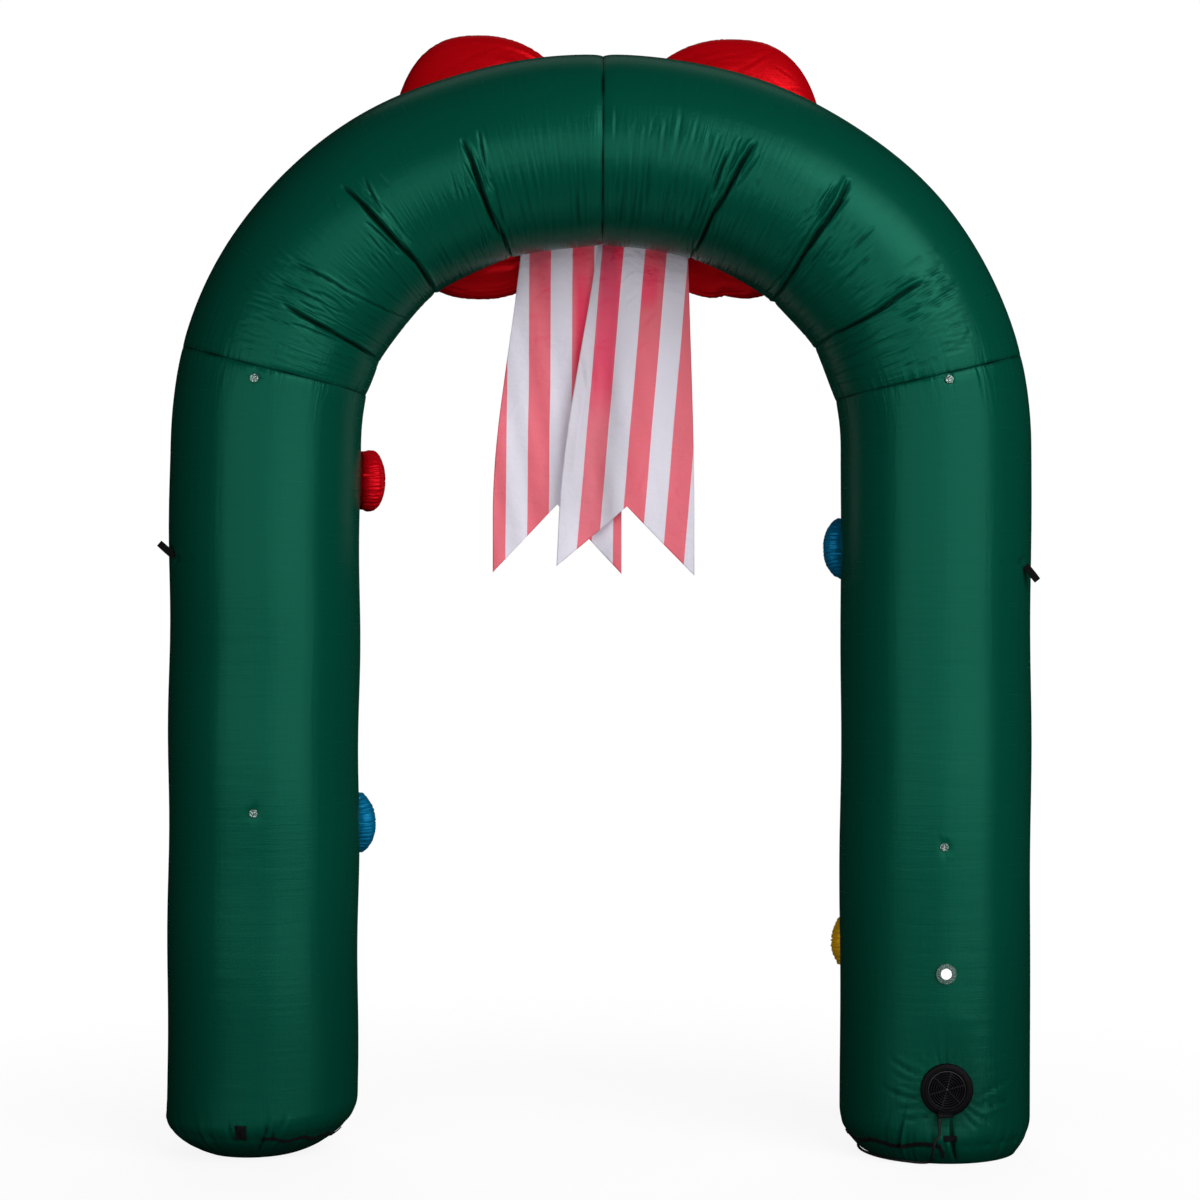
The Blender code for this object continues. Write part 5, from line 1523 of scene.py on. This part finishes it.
last = [
    coil[-1] + way * 0.0060 + Vector((0, 0, 0.0024)),
    coil[-1] + way * 0.0125 + Vector((0, 0, 0.0054)),
    coil[-1] + way * 0.0220 + Vector((0, 0, 0.0062)),
    coil[-1] + way * LAST_STRETCH + Vector((0, 0, 0.0068)),
]
bend_middle = coil[-1] + way * LAST_STRETCH + Vector((way.y, -way.x, 0)) * LAST_BEND
for k in range(1, 8):
    angle = LAST_ANGLE - (math.pi / 2 + LAST_ANGLE) * k / 7
    lifted = coil[-1].z + 0.0068 + (rise - 0.0068) * float(smooth_step(k / 7))
    off_x, off_y = LAST_BEND * math.cos(angle), LAST_BEND * math.sin(angle)
    last.append(Vector((bend_middle.x + off_x, bend_middle.y + off_y, lifted)))
plug_end = PLUG_SPOT + Vector((PLUG_SIZE.x / 2 - 0.001, 0, 0))
line = smooth_line([*route, *coil, *last, plug_end], 0.0045)
curve = bpy.data.curves.new("power_lead_cord", "CURVE")
curve.dimensions = "3D"
curve.bevel_depth = LEAD_DIAMETER / 2
curve.bevel_resolution = 4
curve.use_fill_caps = True
spline = curve.splines.new("POLY")
spline.points.add(len(line) - 1)
for target, point in zip(spline.points, line, strict=True):
    target.co = (*point, 1)
lead_rubber = plain_finish("black_rubber", (0.0060, 0.0060, 0.0065), (0.0110, 0.0110, 0.0115), 0.42, 1200.0)
lead = add_piece("power_lead_cord", curve, lead_rubber, "black_lead", "power_lead", "power_lead_coil")

SLEEVE_LENGTH, SLEEVE_RINGS, SLEEVE_RADIUS, SLEEVE_TIP_RADIUS, RING_STEP = 0.0195, 7, 0.0046, 0.0034, 0.0005
sleeve_outline = [(0, 0.0)]
for ring in range(SLEEVE_RINGS):
    low = SLEEVE_LENGTH * ring / SLEEVE_RINGS
    wide = SLEEVE_TIP_RADIUS + (SLEEVE_RADIUS - SLEEVE_TIP_RADIUS) * min(1.0, ring / 5)
    sleeve_outline += [(wide, low), (wide, low + 0.0017)]
    sleeve_outline += [(wide - RING_STEP, low + 0.0019), (wide - RING_STEP, low + 0.0027)]
sleeve_outline += [(SLEEVE_RADIUS, SLEEVE_LENGTH), (0, SLEEVE_LENGTH)]
sleeve_place = Matrix.Translation(LEAD_EXIT + Vector((0, 0, SEAM_GAP)))
mesh = turned_part("lead_sleeve", sleeve_outline, sleeve_place, steps=32)
sleeve = add_piece("lead_sleeve", mesh, lead_rubber, "black_lead", "lead_relief")

PLUG_SLICES, PLUG_ROUND, GRIP_DEPTH = 12, 0.0028, 0.07
BLADE_ROUND, BLADE_SUNK = 0.0018, 0.002


def along_x(edge):
    """How far an edge runs along the plug."""
    return abs(edge.verts[0].co.x - edge.verts[1].co.x)


bm = bmesh.new()
bmesh.ops.create_cube(bm, size=1)
long_edges = [e for e in bm.edges if along_x(e) > 0.5]
bmesh.ops.subdivide_edges(bm, edges=long_edges, cuts=PLUG_SLICES - 1)
bmesh.ops.scale(bm, vec=PLUG_SIZE, verts=bm.verts)
for vert in bm.verts:
    towards_lead = max(0.0, vert.co.x / (PLUG_SIZE.x / 2))
    column = round((vert.co.x / PLUG_SIZE.x + 0.5) * PLUG_SLICES)
    grip = 1 - GRIP_DEPTH if 5 <= column <= 10 and column % 2 else 1.0
    vert.co.y *= (1 - 0.45 * towards_lead) * grip
    vert.co.z *= (1 - 0.40 * towards_lead) * grip
ends = [f for f in bm.faces if f.normal.x < -0.9]
bmesh.ops.inset_individual(bm, faces=ends, thickness=0.0016)
corner_lines = [
    e for e in bm.edges if along_x(e) > 0.001 and len(e.link_faces) == 2 and abs(e.calc_face_angle(0)) > 1.0
]
round_edges(bm, corner_lines, PLUG_ROUND, 4)
bmesh.ops.translate(bm, vec=PLUG_SPOT, verts=bm.verts)
mesh = crisp(mesh_from("plug_body", bm), 35)
plug = add_piece("plug_body", mesh, lead_rubber, "black_lead", "power_plug")

bm = bmesh.new()
for side in (-1, 1):
    blade = bmesh.ops.create_cube(bm, size=1)["verts"]
    bmesh.ops.scale(bm, vec=BLADE + Vector((BLADE_SUNK, 0, 0)), verts=blade)
    edges = [e for e in bm.edges if e.verts[0] in blade and abs(e.calc_length() - BLADE.y) < 0.0001]
    round_edges(bm, [e for e in edges if e.verts[0].co.x < 0], BLADE_ROUND, 3)
    blade = [v for v in bm.verts if abs(v.co.y) <= BLADE.y and v.co.length < 0.02]
    middle_x = PLUG_SPOT.x - PLUG_SIZE.x / 2 - BLADE.x / 2 + BLADE_SUNK / 2
    spot = (middle_x, PLUG_SPOT.y + side * PLUG_SIZE.y / 4, PLUG_SPOT.z)
    bmesh.ops.translate(bm, vec=spot, verts=blade)
mesh = crisp(mesh_from("plug_blades", bm), 35)
brass, tree, shader = new_finish("plated_brass")
place = place_on(tree)
brushed = streaks(tree, place, (90.0, 90.0, 2600.0), 2.0)
colour_by(tree, shader, brushed, (0.52, 0.50, 0.46), (0.70, 0.68, 0.63))
roughen(tree, shader, brushed, 0.2, 0.22)
shader.inputs["Metallic"].default_value = 1.0
blades = add_piece("plug_blades", mesh, brass, "black_lead")

TIE_WIDTH, TIE_THICK, TIE_OFF_MIDDLE = 0.007, 0.0006, 0.004
tie_lines = []
off_middle = COIL_BUNDLE + 0.0001
for angle in np.radians(np.linspace(0, 356, 60)):
    squarish = (abs(math.cos(angle)) ** 4 + abs(math.sin(angle)) ** 4) ** -0.25
    y = COIL_Y + COIL_RADIUS + (off_middle + 0.0007) * squarish * math.cos(angle) * 0.96
    z = COIL_BUNDLE + 0.0007 + (off_middle - 0.0001) * squarish * math.sin(angle) * 0.98
    shares = (-0.5, -0.25, 0, 0.25, 0.5)
    tie_lines.append([(COIL_X + TIE_OFF_MIDDLE + TIE_WIDTH * share, y, z) for share in shares])
mesh, _, _ = tape("coil_tie", tie_lines, TIE_THICK)
tie = add_piece("coil_tie", mesh, black_webbing, "black_lead")

# ---- Light, floor and camera ----
# A broad soft light stands right of the camera, with a weaker one on the left and one above. Faint
# ones lie under the arch and hang over it, and a large one stands on the far side.
STAND_OFF, EYE_HEIGHT, LENS, FILM_WIDTH = 5.5, 1.175, 76.9, 36.0
camera = bpy.data.objects.new("camera", bpy.data.cameras.new("camera"))
camera.data.lens = LENS
camera.data.sensor_width = FILM_WIDTH
camera.location = (0, TUBE_Y - STAND_OFF, EYE_HEIGHT)
camera.rotation_euler = (math.radians(90), 0, 0)
bpy.context.scene.collection.objects.link(camera)
bpy.context.scene.camera = camera


def soft_light(name, place, aim, size, watts):
    """A soft light panel that the camera doesn't see."""
    lamp = bpy.data.lights.new(name, "AREA")
    lamp.shape = "RECTANGLE"
    lamp.size, lamp.size_y = size
    lamp.energy = watts
    stand = bpy.data.objects.new(name, lamp)
    stand.location = place
    way = Vector(aim) - Vector(place)
    stand.rotation_euler = way.to_track_quat("-Z", "Y").to_euler()
    stand.visible_camera = False
    bpy.context.scene.collection.objects.link(stand)
    return stand


soft_light("key_light", (3.11, -4.93, 2.3), (-0.79, -0.73, 1.4), (6.05, 5.6), 395)
soft_light("fill_light", (-2.03, -5.69, 1.7), (0.89, -0.45, 1.3), (6.6, 3.6), 206)
soft_light("top_light", (2.7, -3.9, 4.5), (0.6, 0.0, 2.0), (3.8, 2.4), 135)
soft_light("floor_light", (0.0, -0.95, 0.02), (0.0, -0.9, 1.0), (2.6, 1.1), 6)
soft_light("rim_light", (0.0, 2.2, 5.2), (0.0, 0.0, 2.2), (3.6, 1.8), 7)
back_light = soft_light("back_light", (0.0, 4.2, 1.8), (0.0, 0.0, 1.3), (7.5, 4.6), 260)
back_light.visible_glossy = False

world = bpy.data.worlds.new("studio")
world.use_nodes = True
world.node_tree.nodes["Background"].inputs["Color"].default_value = (1, 1, 1, 1)
world.node_tree.nodes["Background"].inputs["Strength"].default_value = 1.0
world.cycles_visibility.diffuse = False
world.cycles_visibility.glossy = False
bpy.context.scene.world = world
bpy.context.scene.view_settings.view_transform = "Standard"

FLOOR_RADIUS, FLOOR_DROP = 9.0, 0.0006
SHADOW_RADIUS, WHITE_RADIUS, SHADOW_WHITE = 0.8, 2.2, 0.88  # the floor takes a faint shadow near the feet
bm = bmesh.new()
bmesh.ops.create_circle(bm, cap_ends=True, segments=96, radius=FLOOR_RADIUS)
mesh = mesh_from("floor", bm)
floor = bpy.data.objects.new("floor", mesh)
floor_paint, tree, shader = new_finish("pale_floor")
shader.inputs["Base Color"].default_value = (0.90, 0.90, 0.90, 1)
shader.inputs["Roughness"].default_value = 0.8
place = place_on(tree)
away = shader_node(tree, "ShaderNodeVectorMath", {0: place}, operation="LENGTH").outputs["Value"]
glow = shader_node(tree, "ShaderNodeEmission", {"Color": (1, 1, 1, 1), "Strength": 1.0})
stops = {"From Min": SHADOW_RADIUS, "From Max": WHITE_RADIUS, "To Min": SHADOW_WHITE, "To Max": 1.0}
share = shader_node(tree, "ShaderNodeMapRange", {"Value": away, **stops}, clamp=True)
ends = {0: share.outputs[0], 1: shader.outputs[0], 2: glow.outputs[0]}
mix = shader_node(tree, "ShaderNodeMixShader", ends)
tree.links.new(mix.outputs[0], tree.nodes["Material Output"].inputs["Surface"])
mesh.materials.append(floor_paint)
floor.location = (0, 0, -FLOOR_DROP)
floor.visible_diffuse = False
floor.visible_glossy = False
bpy.context.scene.collection.objects.link(floor)
